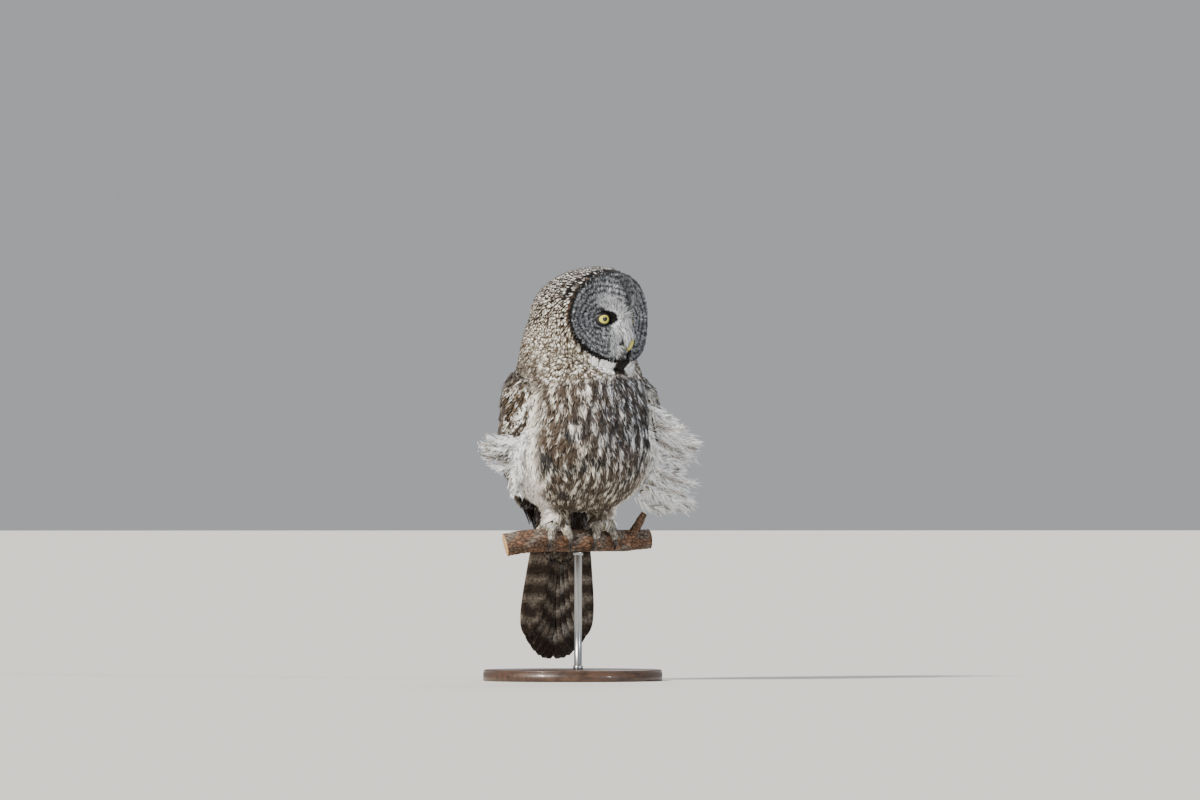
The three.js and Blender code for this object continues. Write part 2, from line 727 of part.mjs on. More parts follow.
// Materials
const finish = (color, roughness, metalness = 0) => new THREE.MeshStandardMaterial({ color, roughness, metalness });
const LOOKS = {
  headFeathers: finish(0x8b8880, 0.9),
  bodyFeathers: finish(0x98918a, 0.92),
  wingFeathers: finish(0x6f5a48, 0.85),
  tailFeathers: finish(0x7a6a5b, 0.85),
  legFeathers: finish(0xb5aea2, 0.92),
  iris: finish(0xe6d84a, 0.15),
  bill: finish(0xc9b94f, 0.4),
  claw: finish(0x1d1b1a, 0.35),
  bark: finish(0x6b4a35, 0.9),
  steel: finish(0x8c8f92, 0.35, 1),
  wood: finish(0x3b2a20, 0.5),
};

// Assembly
const owl = new THREE.Group();

function addNode(name, solid, look) {
  const mesh = solid.getMesh();
  const geometry = new THREE.BufferGeometry();
  geometry.setAttribute("position", new THREE.BufferAttribute(new Float32Array(mesh.vertProperties), 3));
  geometry.setIndex(new THREE.BufferAttribute(new Uint32Array(mesh.triVerts), 1));
  geometry.computeVertexNormals();
  const node = new THREE.Mesh(geometry, look);
  node.name = name;
  owl.add(node);
}

const body = bodyLoft();
const bodyCutter = grown(body, 0.45);
const wingCutter = bodyCutter.add(grown(tailCore(), 0.45));
const perchSolid = perch();
const perchCutter = grown(perchSolid, GAP);
const sides = { right: -1, left: 1 };
const bill = billParts();

// The whole flesh of head, neck and torso is parted by two thin cuts
const neckTop = new THREE.Vector3(0, 0, 1).addScaledVector(headAxes.forward, 0.26).normalize();
const neckFoot = new THREE.Vector3(0, -0.2, 1).normalize();
const chin = onHead(0, -88, 88);
const breast = new THREE.Vector3(0, -105, 452);
const shifted = (point, normal, distance) => point.clone().addScaledVector(normal, distance);
const flesh = joined([body, headLoft()]);
const aboveChin = halfSpace(shifted(chin, neckTop, GAP / 2), neckTop);
const belowChin = halfSpace(shifted(chin, neckTop, -GAP / 2), neckTop.clone().negate());
const aboveBreast = halfSpace(shifted(breast, neckFoot, GAP / 2), neckFoot);
const belowBreast = halfSpace(shifted(breast, neckFoot, -GAP / 2), neckFoot.clone().negate());

const lids = Object.values(sides).map(eyelids);
const sockets = Object.values(sides).map((side) => eyeball(side, EYE.radius + GAP + 0.1));
const billSocket = joined([grown(bill.upperBlank, GAP), grown(bill.lower, GAP)]);
const headSolid = joined([flesh.intersect(aboveChin), ...lids]).subtract(joined(sockets)).subtract(billSocket);
addNode("head", tidied(headSolid), LOOKS.headFeathers);
addNode("neck", tidied(flesh.intersect(belowChin).intersect(aboveBreast)), LOOKS.bodyFeathers);

const wingRoom = joined(Object.values(sides).map((side) => wingCore(side, 0.16, 6.5)));
const loose = flankLocks().map((feather) => largestOf(feather.subtract(wingRoom)));
const torsoSolid = joined([flesh.intersect(belowBreast), ...loose]);
addNode("torso", tidied(torsoSolid), LOOKS.bodyFeathers);

for (const [name, side] of Object.entries(sides)) {
  addNode("wing_" + name, wing(side, wingCutter), LOOKS.wingFeathers);
  addNode("eye_" + name, eyeball(side, EYE.radius), LOOKS.iris);
  addNode("leg_" + name, leg(side, bodyCutter), LOOKS.legFeathers);
  addNode("foot_" + name, foot(side, perchCutter), LOOKS.legFeathers);
  TOES.forEach((shape, i) => addNode("claw_" + name + "_" + (i + 1), claw(side, shape), LOOKS.claw));
}
addNode("bill_upper", bill.upper, LOOKS.bill);
addNode("bill_lower", bill.lower, LOOKS.bill);
addNode("tail", tail(bodyCutter), LOOKS.tailFeathers);
addNode("perch", perchSolid, LOOKS.bark);
addNode("stand_rod", standRod(perchCutter), LOOKS.steel);
addNode("stand_base", standBase(), LOOKS.wood);

export default owl;
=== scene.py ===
"""A great grey owl on a pine perch and a plain stand: its skin, plumage, eyes, bill, claws and looks.

Shapes are worked out in millimetres in the model's frame, and turned into metres where they become
meshes. The body faces -Y, the bird's own left is +X, and the head is turned towards its left.
"""

import math

import bpy
import numpy as np
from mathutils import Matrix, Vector
from mathutils.bvhtree import BVHTree
from mathutils.kdtree import KDTree

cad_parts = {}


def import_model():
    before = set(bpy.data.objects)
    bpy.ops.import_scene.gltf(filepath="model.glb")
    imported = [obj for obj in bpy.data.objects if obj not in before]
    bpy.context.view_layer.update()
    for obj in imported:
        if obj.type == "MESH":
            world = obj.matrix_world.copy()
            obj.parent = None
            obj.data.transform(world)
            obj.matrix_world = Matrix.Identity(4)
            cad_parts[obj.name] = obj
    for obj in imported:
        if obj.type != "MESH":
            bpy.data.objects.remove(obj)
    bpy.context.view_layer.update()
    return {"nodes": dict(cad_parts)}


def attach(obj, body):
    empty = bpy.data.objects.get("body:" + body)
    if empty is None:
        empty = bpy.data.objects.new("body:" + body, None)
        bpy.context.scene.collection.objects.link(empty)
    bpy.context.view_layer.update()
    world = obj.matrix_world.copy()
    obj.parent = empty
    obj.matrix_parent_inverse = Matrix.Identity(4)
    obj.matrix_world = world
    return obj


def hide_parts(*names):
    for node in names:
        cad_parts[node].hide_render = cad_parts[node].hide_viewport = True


MM = 0.001
SEED = 7
SIDES = ((-1, "right"), (1, "left"))

# Driving dimensions, shared with the solids
TORSO = [  # height, half width, how far the front and the back stand
    (264, 30, -24, 44), (269, 52, -44, 60), (279, 73, -63, 74), (297, 94, -85, 87),
    (320, 109, -102, 96), (350, 117, -113, 102), (385, 118, -117, 103), (420, 115, -114, 100),
    (450, 109, -108, 97), (474, 102, -99, 95), (502, 95, -86, 91), (535, 88, -70, 87),
    (566, 77, -50, 78), (592, 57, -30, 60),
]
WING_BED = [
    (60, 36, 106, 116), (100, 40, 98, 110), (150, 46, 86, 102),
    (200, 56, 72, 97), (250, 76, 20, 96), (290, 99, -60, 96),
]
WING_FRONT_EDGE = [  # along the wing, degrees forward of the side, height
    (0, 22, 462), (0.1, 27, 432), (0.2, 22, 400), (0.32, 2, 368),
    (0.45, -22, 330), (0.6, -42, 275), (0.8, -56, 190), (1, -60, 102),
]
WING_BACK_EDGE = [
    (0, -34, 480), (0.1, -58, 456), (0.2, -70, 424), (0.32, -77, 385),
    (0.45, -81, 340), (0.6, -84, 280), (0.8, -86, 200), (1, -87, 130),
]
HEAD_PLACE = np.array([10.0, -25.0, 566.0])
HEAD_YAW = math.radians(24)
DISC = {"side": 84, "top": 71, "bottom": 69}
SKULL = {"side": 90, "top": 81, "bottom": 98, "back": 97}
EYE = {"lateral": 26, "up": -3, "forward": 54.5, "radius": 11.5, "out": math.radians(18)}
APERTURE = {"wide": 8.8, "above": 6.0, "below": 6.9}
IRIS_RADIUS = 9.4
PUPIL_RADIUS = 3.8
BILL_UPPER = [  # forward, up, half width, half height
    (66, -10, 8, 9), (80, -17, 8.4, 10), (87, -27, 8, 9.6), (90, -37, 6.6, 7.4),
    (88.5, -46, 4, 4.6), (84.5, -53, 0.8, 0.9),
]
BILL_LOWER = [(60, -40, 7, 5), (71, -46, 6.6, 4.6), (78, -52, 5, 3.4), (81.5, -57.5, 1, 1)]
LEG_X = 38
TOES = [  # place along the perch, splay, to the front or the back, degrees round the perch
    (-10, -7, 1, 84), (9, 7, 1, 88), (-8, -5, -1, 70), (10, 11, -1, 78),
]
TOE_TIP = 6.2
GRIP = (18, 62)  # where the feet hold the perch, along it from its middle
PERCH = {"radius": 17, "z": 219, "half_length": 118, "sag": 7}
TWIG = [(86, 0, 221), (98, -8, 246), (106, -12, 262)]
TAIL = {"root": (66, 322), "tip": (112, 33), "pairs": 6}
BASE = {"radius": 140, "thickness": 18, "centre_y": 24}
ROD_RADIUS = 6
GAP = 0.3

# Tiers of the folded wing from the lowest to the topmost: count, where the first and the last
# feather's roots and tips lie along the wing and across it, and how far out they stand
WING_TIERS = [
    (9, (0.5, 0.52), (1.0, 0.84), (0.2, 0.62), (0.12, 0.74), (1.2, 1.8)),
    (10, (0.34, 0.4), (0.68, 0.76), (0.12, 0.9), (0.14, 0.9), (3.2, 6.0)),
    (11, (0.2, 0.24), (0.46, 0.54), (0.06, 0.94), (0.06, 0.94), (5.0, 8.6)),
    (11, (0.13, 0.17), (0.37, 0.43), (0.06, 0.94), (0.06, 0.94), (5.6, 9.6)),
    (11, (0.07, 0.11), (0.28, 0.33), (0.06, 0.94), (0.06, 0.94), (6.0, 10.4)),
    (11, (0.02, 0.05), (0.2, 0.24), (0.06, 0.96), (0.06, 0.96), (5.4, 11.0)),
    (10, (-0.03, -0.01), (0.12, 0.16), (0.08, 0.98), (0.08, 0.98), (0.5, 9.4)),
]

# Blown flank feathers: side, count, roots as degrees forward of the side and height, tips as places
FLANK_LOCKS = [
    (-1, 5, (44, 392), (24, 326), (-104, -52, 352), (-108, -14, 286)),
    (1, 5, (44, 392), (24, 326), (104, -56, 346), (108, -16, 284)),
    (1, 4, (38, 428), (34, 396), (138, -44, 404), (186, -38, 374)),
    (1, 6, (30, 396), (24, 350), (188, -30, 364), (166, -28, 326)),
    (1, 5, (26, 344), (20, 304), (168, -30, 312), (180, -22, 264)),
    (1, 4, (32, 334), (28, 300), (188, -36, 298), (160, -30, 262)),
    (-1, 5, (30, 384), (22, 352), (-158, -30, 378), (-160, -16, 350)),
]

# How deep the skin lies under the tips of the coat, how fine it is, and the heights of its regions
DEPTH = {"torso": 8.5, "shell": 6.0, "disc": 3.0, "leg": 3.5, "foot": 1.4}
DRAFT_VOXEL = 1.4
SKIN_VOXEL = 2.8
HEAD_ABOVE = 478
LEG_BELOW = 270
FOOT_BELOW = 243

# The coat: rows of points along small feathers and along ribbons, how hollow a vane is and how ragged
# its tip, the thickness of flight feathers, numbers of bristles, shafts and barbs, how far across the
# blown plumes may reach, and the most triangles in one piece
COAT_ROWS, RIBBON_ROWS = 5, 6
VANE_CUP, RAGGED_TIP = 0.18, 0.35
FLIGHT_THICKNESS = 0.35
BRISTLES = {"eyes": 2600, "bill": 3000, "brow": 1200, "cheek": 1300, "chin": 700}
SHAFTS_PER_PLACE, BARBS_PER_SHAFT = 9, 30
PLUME_REACH = (-172, 200)
MOST_TRIANGLES = 190000

# Markings: distances between the disc's rings, how far light and dark are parted, how much the skin
# under the coat is darkened as painted shade in the gaps of the coat, and the barbs and flecks of the
# material
RING_GAP, FINE_RING_GAP = 8.6, 2.9
CONTRAST, CONTRAST_MIDDLE, LIGHTEST = 1.45, 0.5, 0.93
SKIN_PAINTED_SHADE = 0.7
BARBS, FLECK_SCALE = 26.0, 300.0

# Photograph: a pixel's size at the bird, where the bird's own zero lies in it, its horizon, and the
# camera
PIXEL = 1.56
FRAME_SIZE = (1200, 800)
ZERO_PIXEL = (578, 681)
HORIZON_PIXEL = 525
VIEW_AZIMUTH = math.radians(-20)
CAMERA_DISTANCE = 15.6
FILM_WIDTH = 36

# Lights, in metres: what they are aimed at and how far off they stand
LIT_PLACE = (0, 0, 0.42)
LIGHT_DISTANCE = 3.2


def srgb(red, green, blue):
    """A colour given as the eye sees it, 0 to 255, as the linear numbers that shaders take."""
    share = np.array([red, green, blue], float) / 255
    return np.where(share <= 0.04045, share / 12.92, ((share + 0.055) / 1.055) ** 2.4)


WHITE = srgb(240, 239, 236)
# white as it looks in cool shade: a painted shade
COOL_SHADED_WHITE = srgb(196, 202, 214)
CREAM = srgb(216, 205, 182)
PALE_GREY = srgb(176, 177, 180)
CHARCOAL = srgb(52, 50, 52)
BLACK = srgb(19, 18, 19)
DEEP_BROWN = srgb(50, 37, 29)
UMBER = srgb(78, 61, 49)
BROWN = srgb(102, 83, 63)
OLIVE = srgb(118, 105, 84)
TAN = srgb(152, 132, 102)
RUFOUS = srgb(112, 78, 58)


# Numbers and curves
def curve_through(xs, ys):
    """A smooth curve through points, which doesn't overshoot and goes on straight beyond them."""
    xs, ys = np.array(xs, float), np.array(ys, float)
    secant = np.diff(ys) / np.diff(xs)
    before = np.concatenate([secant[:1], secant])
    after = np.concatenate([secant, secant[-1:]])
    most = 3 * np.minimum(abs(before), abs(after))
    slope = np.where(before * after <= 0, 0, np.sign(after) * np.minimum(most, abs(before + after) / 2))

    def at(x):
        x = np.asarray(x, float)
        i = np.clip(np.searchsorted(xs, x, side="right") - 1, 0, len(xs) - 2)
        step = xs[i + 1] - xs[i]
        t = np.clip((x - xs[i]) / step, 0, 1)
        inside = (
            ys[i] * (1 + 2 * t) * (1 - t) ** 2
            + slope[i] * step * t * (1 - t) ** 2
            + ys[i + 1] * t * t * (3 - 2 * t)
            + slope[i + 1] * step * t * t * (t - 1)
        )
        below = slope[0] * np.minimum(0, x - xs[0])
        above = slope[-1] * np.maximum(0, x - xs[-1])
        return inside + below + above

    return at


def mix(a, b, t):
    return a + (b - a) * t


def bell(x, width):
    return np.exp(-((x / width) ** 2))


def ramp(x, low, high):
    """0 below low and 1 above high, with a soft step between them."""
    t = np.clip((x - low) / (high - low), 0, 1)
    return t * t * (3 - 2 * t)


def band(x, low, high, soft):
    return ramp(x, low - soft, low + soft) * (1 - ramp(x, high - soft, high + soft))


def unit(vectors):
    return vectors / np.maximum(np.linalg.norm(vectors, axis=-1, keepdims=True), 1e-9)


def blend(first, second, share):
    share = np.clip(np.asarray(share), 0, 1)[..., None]
    return first * (1 - share) + second * share


def waves(points, scale, seed):
    """Soft noise between about -1 and 1 from a few crossed waves, `scale` millimetres long."""
    random = np.random.default_rng(seed)
    total = 0
    for _ in range(7):
        length = np.asarray(scale) * random.uniform(0.7, 1.6)
        direction = unit(random.normal(size=3)) * 2 * math.pi / length
        total = total + np.sin(points @ direction + random.uniform(0, 2 * math.pi))
    return total / 3.2


# Shape of the bird
def profile_of(stations):
    heights = [s[0] for s in stations]
    wide, front, back = (curve_through(heights, [s[k] for s in stations]) for k in (1, 2, 3))

    def at(z):
        return wide(z), (back(z) - front(z)) / 2, (back(z) + front(z)) / 2

    return at


torso_at = profile_of(TORSO)
wing_bed_at = profile_of(WING_BED + [s for s in TORSO if s[0] >= 320])


def on_body(profile, side, turn_deg, z, out):
    """The point at a height, some degrees forward of the side, and a distance out."""
    wide, deep, centre_y = profile(z)
    turn = np.radians(turn_deg)
    x = side * (wide + out) * np.cos(turn)
    y = centre_y - (deep + out) * np.sin(turn)
    return np.stack(np.broadcast_arrays(x, y, z), -1).astype(float)


def torso_turn(points):
    """How many degrees forward of the side places on the body lie."""
    wide, deep, centre_y = torso_at(np.clip(points[..., 2], TORSO[0][0], TORSO[-1][0]))
    return np.degrees(np.arctan2((centre_y - points[..., 1]) / deep, abs(points[..., 0]) / wide))


LEFT = np.array([math.cos(HEAD_YAW), math.sin(HEAD_YAW), 0])
UP = np.array([0.0, 0, 1])
FORWARD = np.array([math.sin(HEAD_YAW), -math.cos(HEAD_YAW), 0])
ACROSS = np.array([1.0, 0, 0])


def on_head(u, v, w):
    u, v, w = (np.asarray(k, float)[..., None] for k in (u, v, w))
    return HEAD_PLACE + LEFT * u + UP * v + FORWARD * w


def head_places(points):
    """Places in the head's own axes: to its left, up and forward."""
    offset = points - HEAD_PLACE
    return offset @ LEFT, offset @ UP, offset @ FORWARD


RIDGE_UP = [-95, -78, -60, -45, -28, 0, 20, 45, 60, 75]
RIDGE_FORWARD = [76, 84, 79, 76, 84, 91, 89, 78, 68, 57]
face_ridge = curve_through(RIDGE_UP, RIDGE_FORWARD)


def reach(shape, sine):
    return mix(shape["side"], np.where(sine > 0, shape["top"], shape["bottom"]), sine * sine)


def disc_share(u, v):
    """How far out a place lies on the facial disc, from 0 in its middle to 1 at its rim."""
    radial = np.maximum(np.hypot(u, v), 1e-6)
    return radial / reach(DISC, v / radial)


def disc_forward(u, v, share):
    fall = np.where(v > 0, 8, -9) * (v / DISC["top"]) ** 2
    bow = 66 - 23 * (u / DISC["side"]) ** 2 - fall
    ridge = (face_ridge(v) - 66 + fall) * bell(u, 13 + 6 * bell(v - 22, 22))
    dish = -5 * bell(np.hypot(abs(u) - 42, v + 4), 30)
    return bow + ridge + dish + 4 * bell(share - 0.97, 0.1)


def on_face(u, v, out):
    """A place on the face, well inside its rim, and a distance out from it."""
    return on_head(u, v, disc_forward(u, v, 0.5) + out)


def behind_rim(u, v, w):
    """How far behind the rim of the disc a place on the head lies."""
    share = np.maximum(disc_share(u, v), 1e-3)
    return disc_forward(u / share, v / share, 1.0) - w


def head_rings(columns=120):
    """The head's surface in rings, from the middle of the face to the back of the skull."""
    turn = np.linspace(0, 2 * math.pi, columns, endpoint=False)
    cosine, sine = np.cos(turn), np.sin(turn)
    disc = reach(DISC, sine)
    rings = []
    for share in np.linspace(0.04, 1, 26):
        u, v = share * disc * cosine, share * disc * sine
        rings.append(on_head(u, v, disc_forward(u, v, share)))
    shell = reach(SKULL, sine)
    middle = -3 + 22 * np.maximum(0, sine) ** 2
    rim_turn = np.arccos(disc / shell)
    front = (disc_forward(disc * cosine, disc * sine, 1) - middle) / np.sin(rim_turn)
    for k in range(1, 30):
        lie = mix(-rim_turn, math.pi / 2, k / 30)
        out = shell * np.cos(lie)
        w = middle - np.where(lie < 0, front, middle + SKULL["back"]) * np.sin(lie)
        rings.append(on_head(out * cosine, out * sine, w))
    return np.array(rings)


wing_edges = [
    [curve_through([row[0] for row in edge], [row[k] for row in edge]) for k in (1, 2)]
    for edge in (WING_FRONT_EDGE, WING_BACK_EDGE)
]
core_rise = curve_through([0, 0.08, 0.2, 0.36, 0.56], [1.5, 8.5, 9, 6.5, 2.2])


def wing_sheet(side, u, v, out):
    """A place along and across the folded wing, and a distance out from what it lies on."""
    (front_turn, front_z), (back_turn, back_z) = wing_edges
    turn = mix(front_turn(u), back_turn(u), v)
    return on_body(wing_bed_at, side, turn, mix(front_z(u), back_z(u), v), out)


def wing_core_top(side, u, v):
    rounded = np.maximum(0, 1 - (2 * v - 1) ** 4)
    return wing_sheet(side, u, v, core_rise(np.minimum(u, 0.56)) * rounded - 2.5)


def tail_line(t, out):
    (root_y, root_z), (tip_y, tip_z) = TAIL["root"], TAIL["tip"]
    y = mix(root_y, tip_y, t) + np.asarray(out) * 0.99
    z = mix(root_z, tip_z, t) + np.asarray(out) * 0.14
    return np.stack(np.broadcast_arrays(0.0 * y, y, z), -1)


def round_perch(x, turn_deg, front, radius):
    turn = np.radians(turn_deg)
    y, z = -front * radius * np.sin(turn), PERCH["z"] + radius * np.cos(turn)
    return np.stack(np.broadcast_arrays(x, y, z), -1).astype(float)


# Meshes
def add_object(name, data):
    thing = bpy.data.objects.new(name, data)
    bpy.context.scene.collection.objects.link(thing)
    return thing


def add_mesh(name, points, faces):
    mesh = bpy.data.meshes.new(name)
    mesh.from_pydata((np.asarray(points) * MM).tolist(), [], faces)
    mesh.update()
    mesh.shade_smooth()
    return add_object(name, mesh)


def closed_rings(rings):
    """Points and faces of a closed surface through rings, its ends closed on their middle."""
    rings = np.asarray(rings)
    rows, columns = rings.shape[:2]
    points = np.concatenate([rings.reshape(-1, 3), [rings[0].mean(0)], [rings[-1].mean(0)]])
    first, last, end = rows * columns, rows * columns + 1, (rows - 1) * columns
    faces = []
    for i in range(rows - 1):
        for j in range(columns):
            a, b = i * columns + j, i * columns + (j + 1) % columns
            faces.append((a, b, b + columns, a + columns))
    for j in range(columns):
        faces.append((first, (j + 1) % columns, j))
        faces.append((last, end + j, end + (j + 1) % columns))
    return points, faces


def tube_rings(path, across_radius, up_radius, side, columns):
    """Rings of oval section along a path, with their first axis near `side`."""
    path = np.asarray(path, float)
    along = unit(np.gradient(path, axis=0))
    up = unit(np.cross(along, side))
    across = unit(np.cross(up, along))
    turn = np.linspace(0, 2 * math.pi, columns, endpoint=False)
    wide, high = (np.broadcast_to(k, len(path))[:, None, None] for k in (across_radius, up_radius))
    sideways = across[:, None] * wide * np.cos(turn)[None, :, None]
    return path[:, None] + sideways + up[:, None] * high * np.sin(turn)[None, :, None]


def smooth_path(points, count):
    points = np.asarray(points, float)
    share, fine = np.linspace(0, 1, len(points)), np.linspace(0, 1, count)
    return np.stack([curve_through(share, points[:, k])(fine) for k in range(points.shape[1])], -1)


def mesh_arrays(mesh):
    points, normals = np.empty(len(mesh.vertices) * 3), np.empty(len(mesh.vertices) * 3)
    mesh.vertices.foreach_get("co", points)
    mesh.vertices.foreach_get("normal", normals)
    return points.reshape(-1, 3) / MM, normals.reshape(-1, 3)


def move_points(mesh, points):
    mesh.vertices.foreach_set("co", (points * MM).ravel())


def apply_modifiers(piece):
    graph = bpy.context.evaluated_depsgraph_get()
    mesh = bpy.data.meshes.new_from_object(piece.evaluated_get(graph))
    piece.modifiers.clear()
    piece.data = mesh
    mesh.shade_smooth()


def paint(mesh, colours):
    """Gives a mesh its markings: a colour and an amount of mottling at each point."""
    layer = mesh.color_attributes.new("plumage", "FLOAT_COLOR", "POINT")
    layer.data.foreach_set("color", np.clip(colours.reshape(-1, 4), 0, 1).ravel())


def contrasted(colours):
    """Colours with their light parts lighter and their dark parts darker, as crisp light shows them."""
    light = np.maximum(colours[..., :3].mean(-1, keepdims=True), 1e-4)
    wanted = np.minimum(CONTRAST_MIDDLE * (light / CONTRAST_MIDDLE) ** CONTRAST, LIGHTEST)
    return np.concatenate([colours[..., :3] * wanted / light, colours[..., 3:]], -1)


def with_mottle(colours, amount):
    amount = np.broadcast_to(np.asarray(amount)[..., None], colours.shape[:-1] + (1,))
    return np.concatenate([colours, amount], -1)


# Materials
def math_node(nodes, links, operation, first, second=None):
    node = nodes.new("ShaderNodeMath")
    node.operation = operation
    for socket, value in zip(node.inputs, (first, second)):
        if isinstance(value, (int, float)):
            socket.default_value = value
        elif value is not None:
            links.new(value, socket)
    return node.outputs[0]


def map_range(nodes, links, value, from_range, to_range):
    node = nodes.new("ShaderNodeMapRange")
    for key, number in zip(("From Min", "From Max", "To Min", "To Max"), (*from_range, *to_range)):
        node.inputs[key].default_value = number
    links.new(value, node.inputs["Value"])
    return node.outputs["Result"]


def new_material(name, roughness, specular, sheen=0, coat=0):
    material = bpy.data.materials.new(name)
    material.use_nodes = True
    shader = material.node_tree.nodes["Principled BSDF"]
    shader.inputs["Roughness"].default_value = roughness
    shader.inputs["Specular IOR Level"].default_value = specular
    shader.inputs["Sheen Weight"].default_value = sheen
    shader.inputs["Coat Weight"].default_value = coat
    shader.inputs["Coat Roughness"].default_value = 0.04
    return material, material.node_tree.nodes, material.node_tree.links, shader


def noise_node(nodes, links, vector, scale, detail):
    noise = nodes.new("ShaderNodeTexNoise")
    noise.inputs["Scale"].default_value = scale
    noise.inputs["Detail"].default_value = detail
    links.new(vector, noise.inputs["Vector"])
    return noise.outputs["Fac"]


def add_bump(nodes, links, shader, height, strength, distance):
    bump = nodes.new("ShaderNodeBump")
    bump.inputs["Strength"].default_value = strength
    bump.inputs["Distance"].default_value = distance * MM
    links.new(height, bump.inputs["Height"])
    links.new(bump.outputs["Normal"], shader.inputs["Normal"])


def scaled_colour(nodes, links, colour, factor, shader):
    scaled = nodes.new("ShaderNodeVectorMath")
    scaled.operation = "SCALE"
    links.new(colour, scaled.inputs[0])
    links.new(factor, scaled.inputs["Scale"])
    links.new(scaled.outputs[0], shader.inputs["Base Color"])


def plumage_material(name):
    """The painted markings, broken up by flecks, with fine barbs that run out from each shaft."""
    material, nodes, links, shader = new_material(name, 0.85, 0.15, sheen=0.1)
    markings = nodes.new("ShaderNodeAttribute")
    markings.attribute_name = "plumage"
    vane = nodes.new("ShaderNodeUVMap")
    vane.uv_map = "vane"
    split = nodes.new("ShaderNodeSeparateXYZ")
    links.new(vane.outputs["UV"], split.inputs[0])
    from_shaft = math_node(nodes, links, "SUBTRACT", split.outputs[0], 0.5)
    slant = math_node(nodes, links, "MULTIPLY", math_node(nodes, links, "ABSOLUTE", from_shaft), 0.7)
    slanted = math_node(nodes, links, "SUBTRACT", split.outputs[1], slant)
    barb_place = nodes.new("ShaderNodeCombineXYZ")
    links.new(split.outputs[0], barb_place.inputs[0])
    links.new(math_node(nodes, links, "MULTIPLY", slanted, BARBS), barb_place.inputs[1])
    barb = noise_node(nodes, links, barb_place.outputs[0], 2.2, 2)
    place = nodes.new("ShaderNodeTexCoord")
    fleck = noise_node(nodes, links, place.outputs["Object"], FLECK_SCALE, 2)
    fleck = map_range(nodes, links, fleck, (0.38, 0.62), (-1.15, 1.15))
    fleck = math_node(nodes, links, "MULTIPLY", fleck, markings.outputs["Alpha"])
    barb_shade = map_range(nodes, links, barb, (0.25, 0.75), (0.72, 1.28))
    shade = math_node(nodes, links, "ADD", barb_shade, fleck)
    shade = math_node(nodes, links, "MAXIMUM", shade, 0.12)
    scaled_colour(nodes, links, markings.outputs["Color"], shade, shader)
    add_bump(nodes, links, shader, barb, 0.35, 0.4)
    return material


def painted_material(name, roughness, specular=0.4, coat=0, grain=400.0, uneven=0.2, bump=0.2):
    """Painted colours with a fine uneven grain, for horn, skin, lids, eyes and bark."""
    material, nodes, links, shader = new_material(name, roughness, specular, coat=coat)
    markings = nodes.new("ShaderNodeAttribute")
    markings.attribute_name = "plumage"
    place = nodes.new("ShaderNodeTexCoord")
    noise = noise_node(nodes, links, place.outputs["Object"], grain, 5)
    factor = map_range(nodes, links, noise, (0.3, 0.7), (1 - uneven, 1 + uneven))
    scaled_colour(nodes, links, markings.outputs["Color"], factor, shader)
    add_bump(nodes, links, shader, noise, bump, 0.4)
    return material


def grained_material(name, colours, scale, roughness, stretch=(1, 1, 1), bump=0.2, metallic=0.0, coat=0):
    """Two colours along a stretched noise, with a relief of the same grain."""
    material, nodes, links, shader = new_material(name, roughness, 0.5, coat=coat)
    shader.inputs["Metallic"].default_value = metallic
    place = nodes.new("ShaderNodeTexCoord")
    mapping = nodes.new("ShaderNodeMapping")
    mapping.inputs["Scale"].default_value = stretch
    links.new(place.outputs["Object"], mapping.inputs[0])
    noise = noise_node(nodes, links, mapping.outputs[0], scale, 5)
    colour = nodes.new("ShaderNodeValToRGB")
    for element, position, value in zip(colour.color_ramp.elements, (0.32, 0.68), colours):
        element.position = position
        element.color = (*value, 1)
    links.new(noise, colour.inputs[0])
    links.new(colour.outputs[0], shader.inputs["Base Color"])
    rough = map_range(nodes, links, noise, (0.3, 0.7), (roughness * 0.8, min(1, roughness * 1.25)))
    links.new(rough, shader.inputs["Roughness"])
    add_bump(nodes, links, shader, noise, bump, 0.3)
    return material


def finish_piece(piece, material, slot, *nodes):
    piece.data.materials.clear()
    piece.data.materials.append(material)
    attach(piece, "root")
    if nodes:
        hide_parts(*nodes)


def painted_piece(name, shape, colours, material, slot, *nodes):
    """A finished piece from its points and faces, with a colour at each point."""
    piece = add_mesh(name, *shape)
    paint(piece.data, with_mottle(colours, 0))
    finish_piece(piece, material, slot, *nodes)


# Skin
def make_even(piece, voxel, rounds):
    """Turns a piece into one even surface and softens it so many times."""
    even = piece.modifiers.new("one surface", "REMESH")
    even.mode = "VOXEL"
    even.voxel_size = voxel * MM
    soften = piece.modifiers.new("soften", "SMOOTH")
    soften.iterations = rounds
    apply_modifiers(piece)


def draft(rings):
    return add_mesh("draft", *closed_rings(rings))


def shrunk_copy(frame, name, depth):
    """A copy of a solid's mesh, made fine, smooth and smaller by a depth."""
    piece = add_object("draft_" + name, frame["nodes"][name].data.copy())
    make_even(piece, DRAFT_VOXEL, 6)
    points, normals = mesh_arrays(piece.data)
    move_points(piece.data, points - normals * depth)
    return piece


def sunk(piece, depth_at):
    """Moves a closed mesh's points in by a depth and turns its faces outwards."""
    points, normals = mesh_arrays(piece.data)
    outward = np.sign(np.sum(normals * (points - points.mean(0)), -1).mean())
    depth = np.broadcast_to(depth_at(points), len(points))[:, None]
    move_points(piece.data, points - outward * normals * depth)
    if outward < 0:
        piece.data.flip_normals()
    return piece


def head_depth(points):
    u, v, w = head_places(points)
    on_disc = ramp(w, 20, 42) * (disc_share(u, v) < 1.02)
    return mix(DEPTH["shell"], DEPTH["disc"], on_disc)


def wing_core_rings(side):
    v = np.linspace(0, 1, 24)
    return [
        np.concatenate([wing_core_top(side, u, v), wing_sheet(side, u, v[::-1], -14.0 + 0 * v)])
        for u in np.linspace(0, 0.6, 28)
    ]


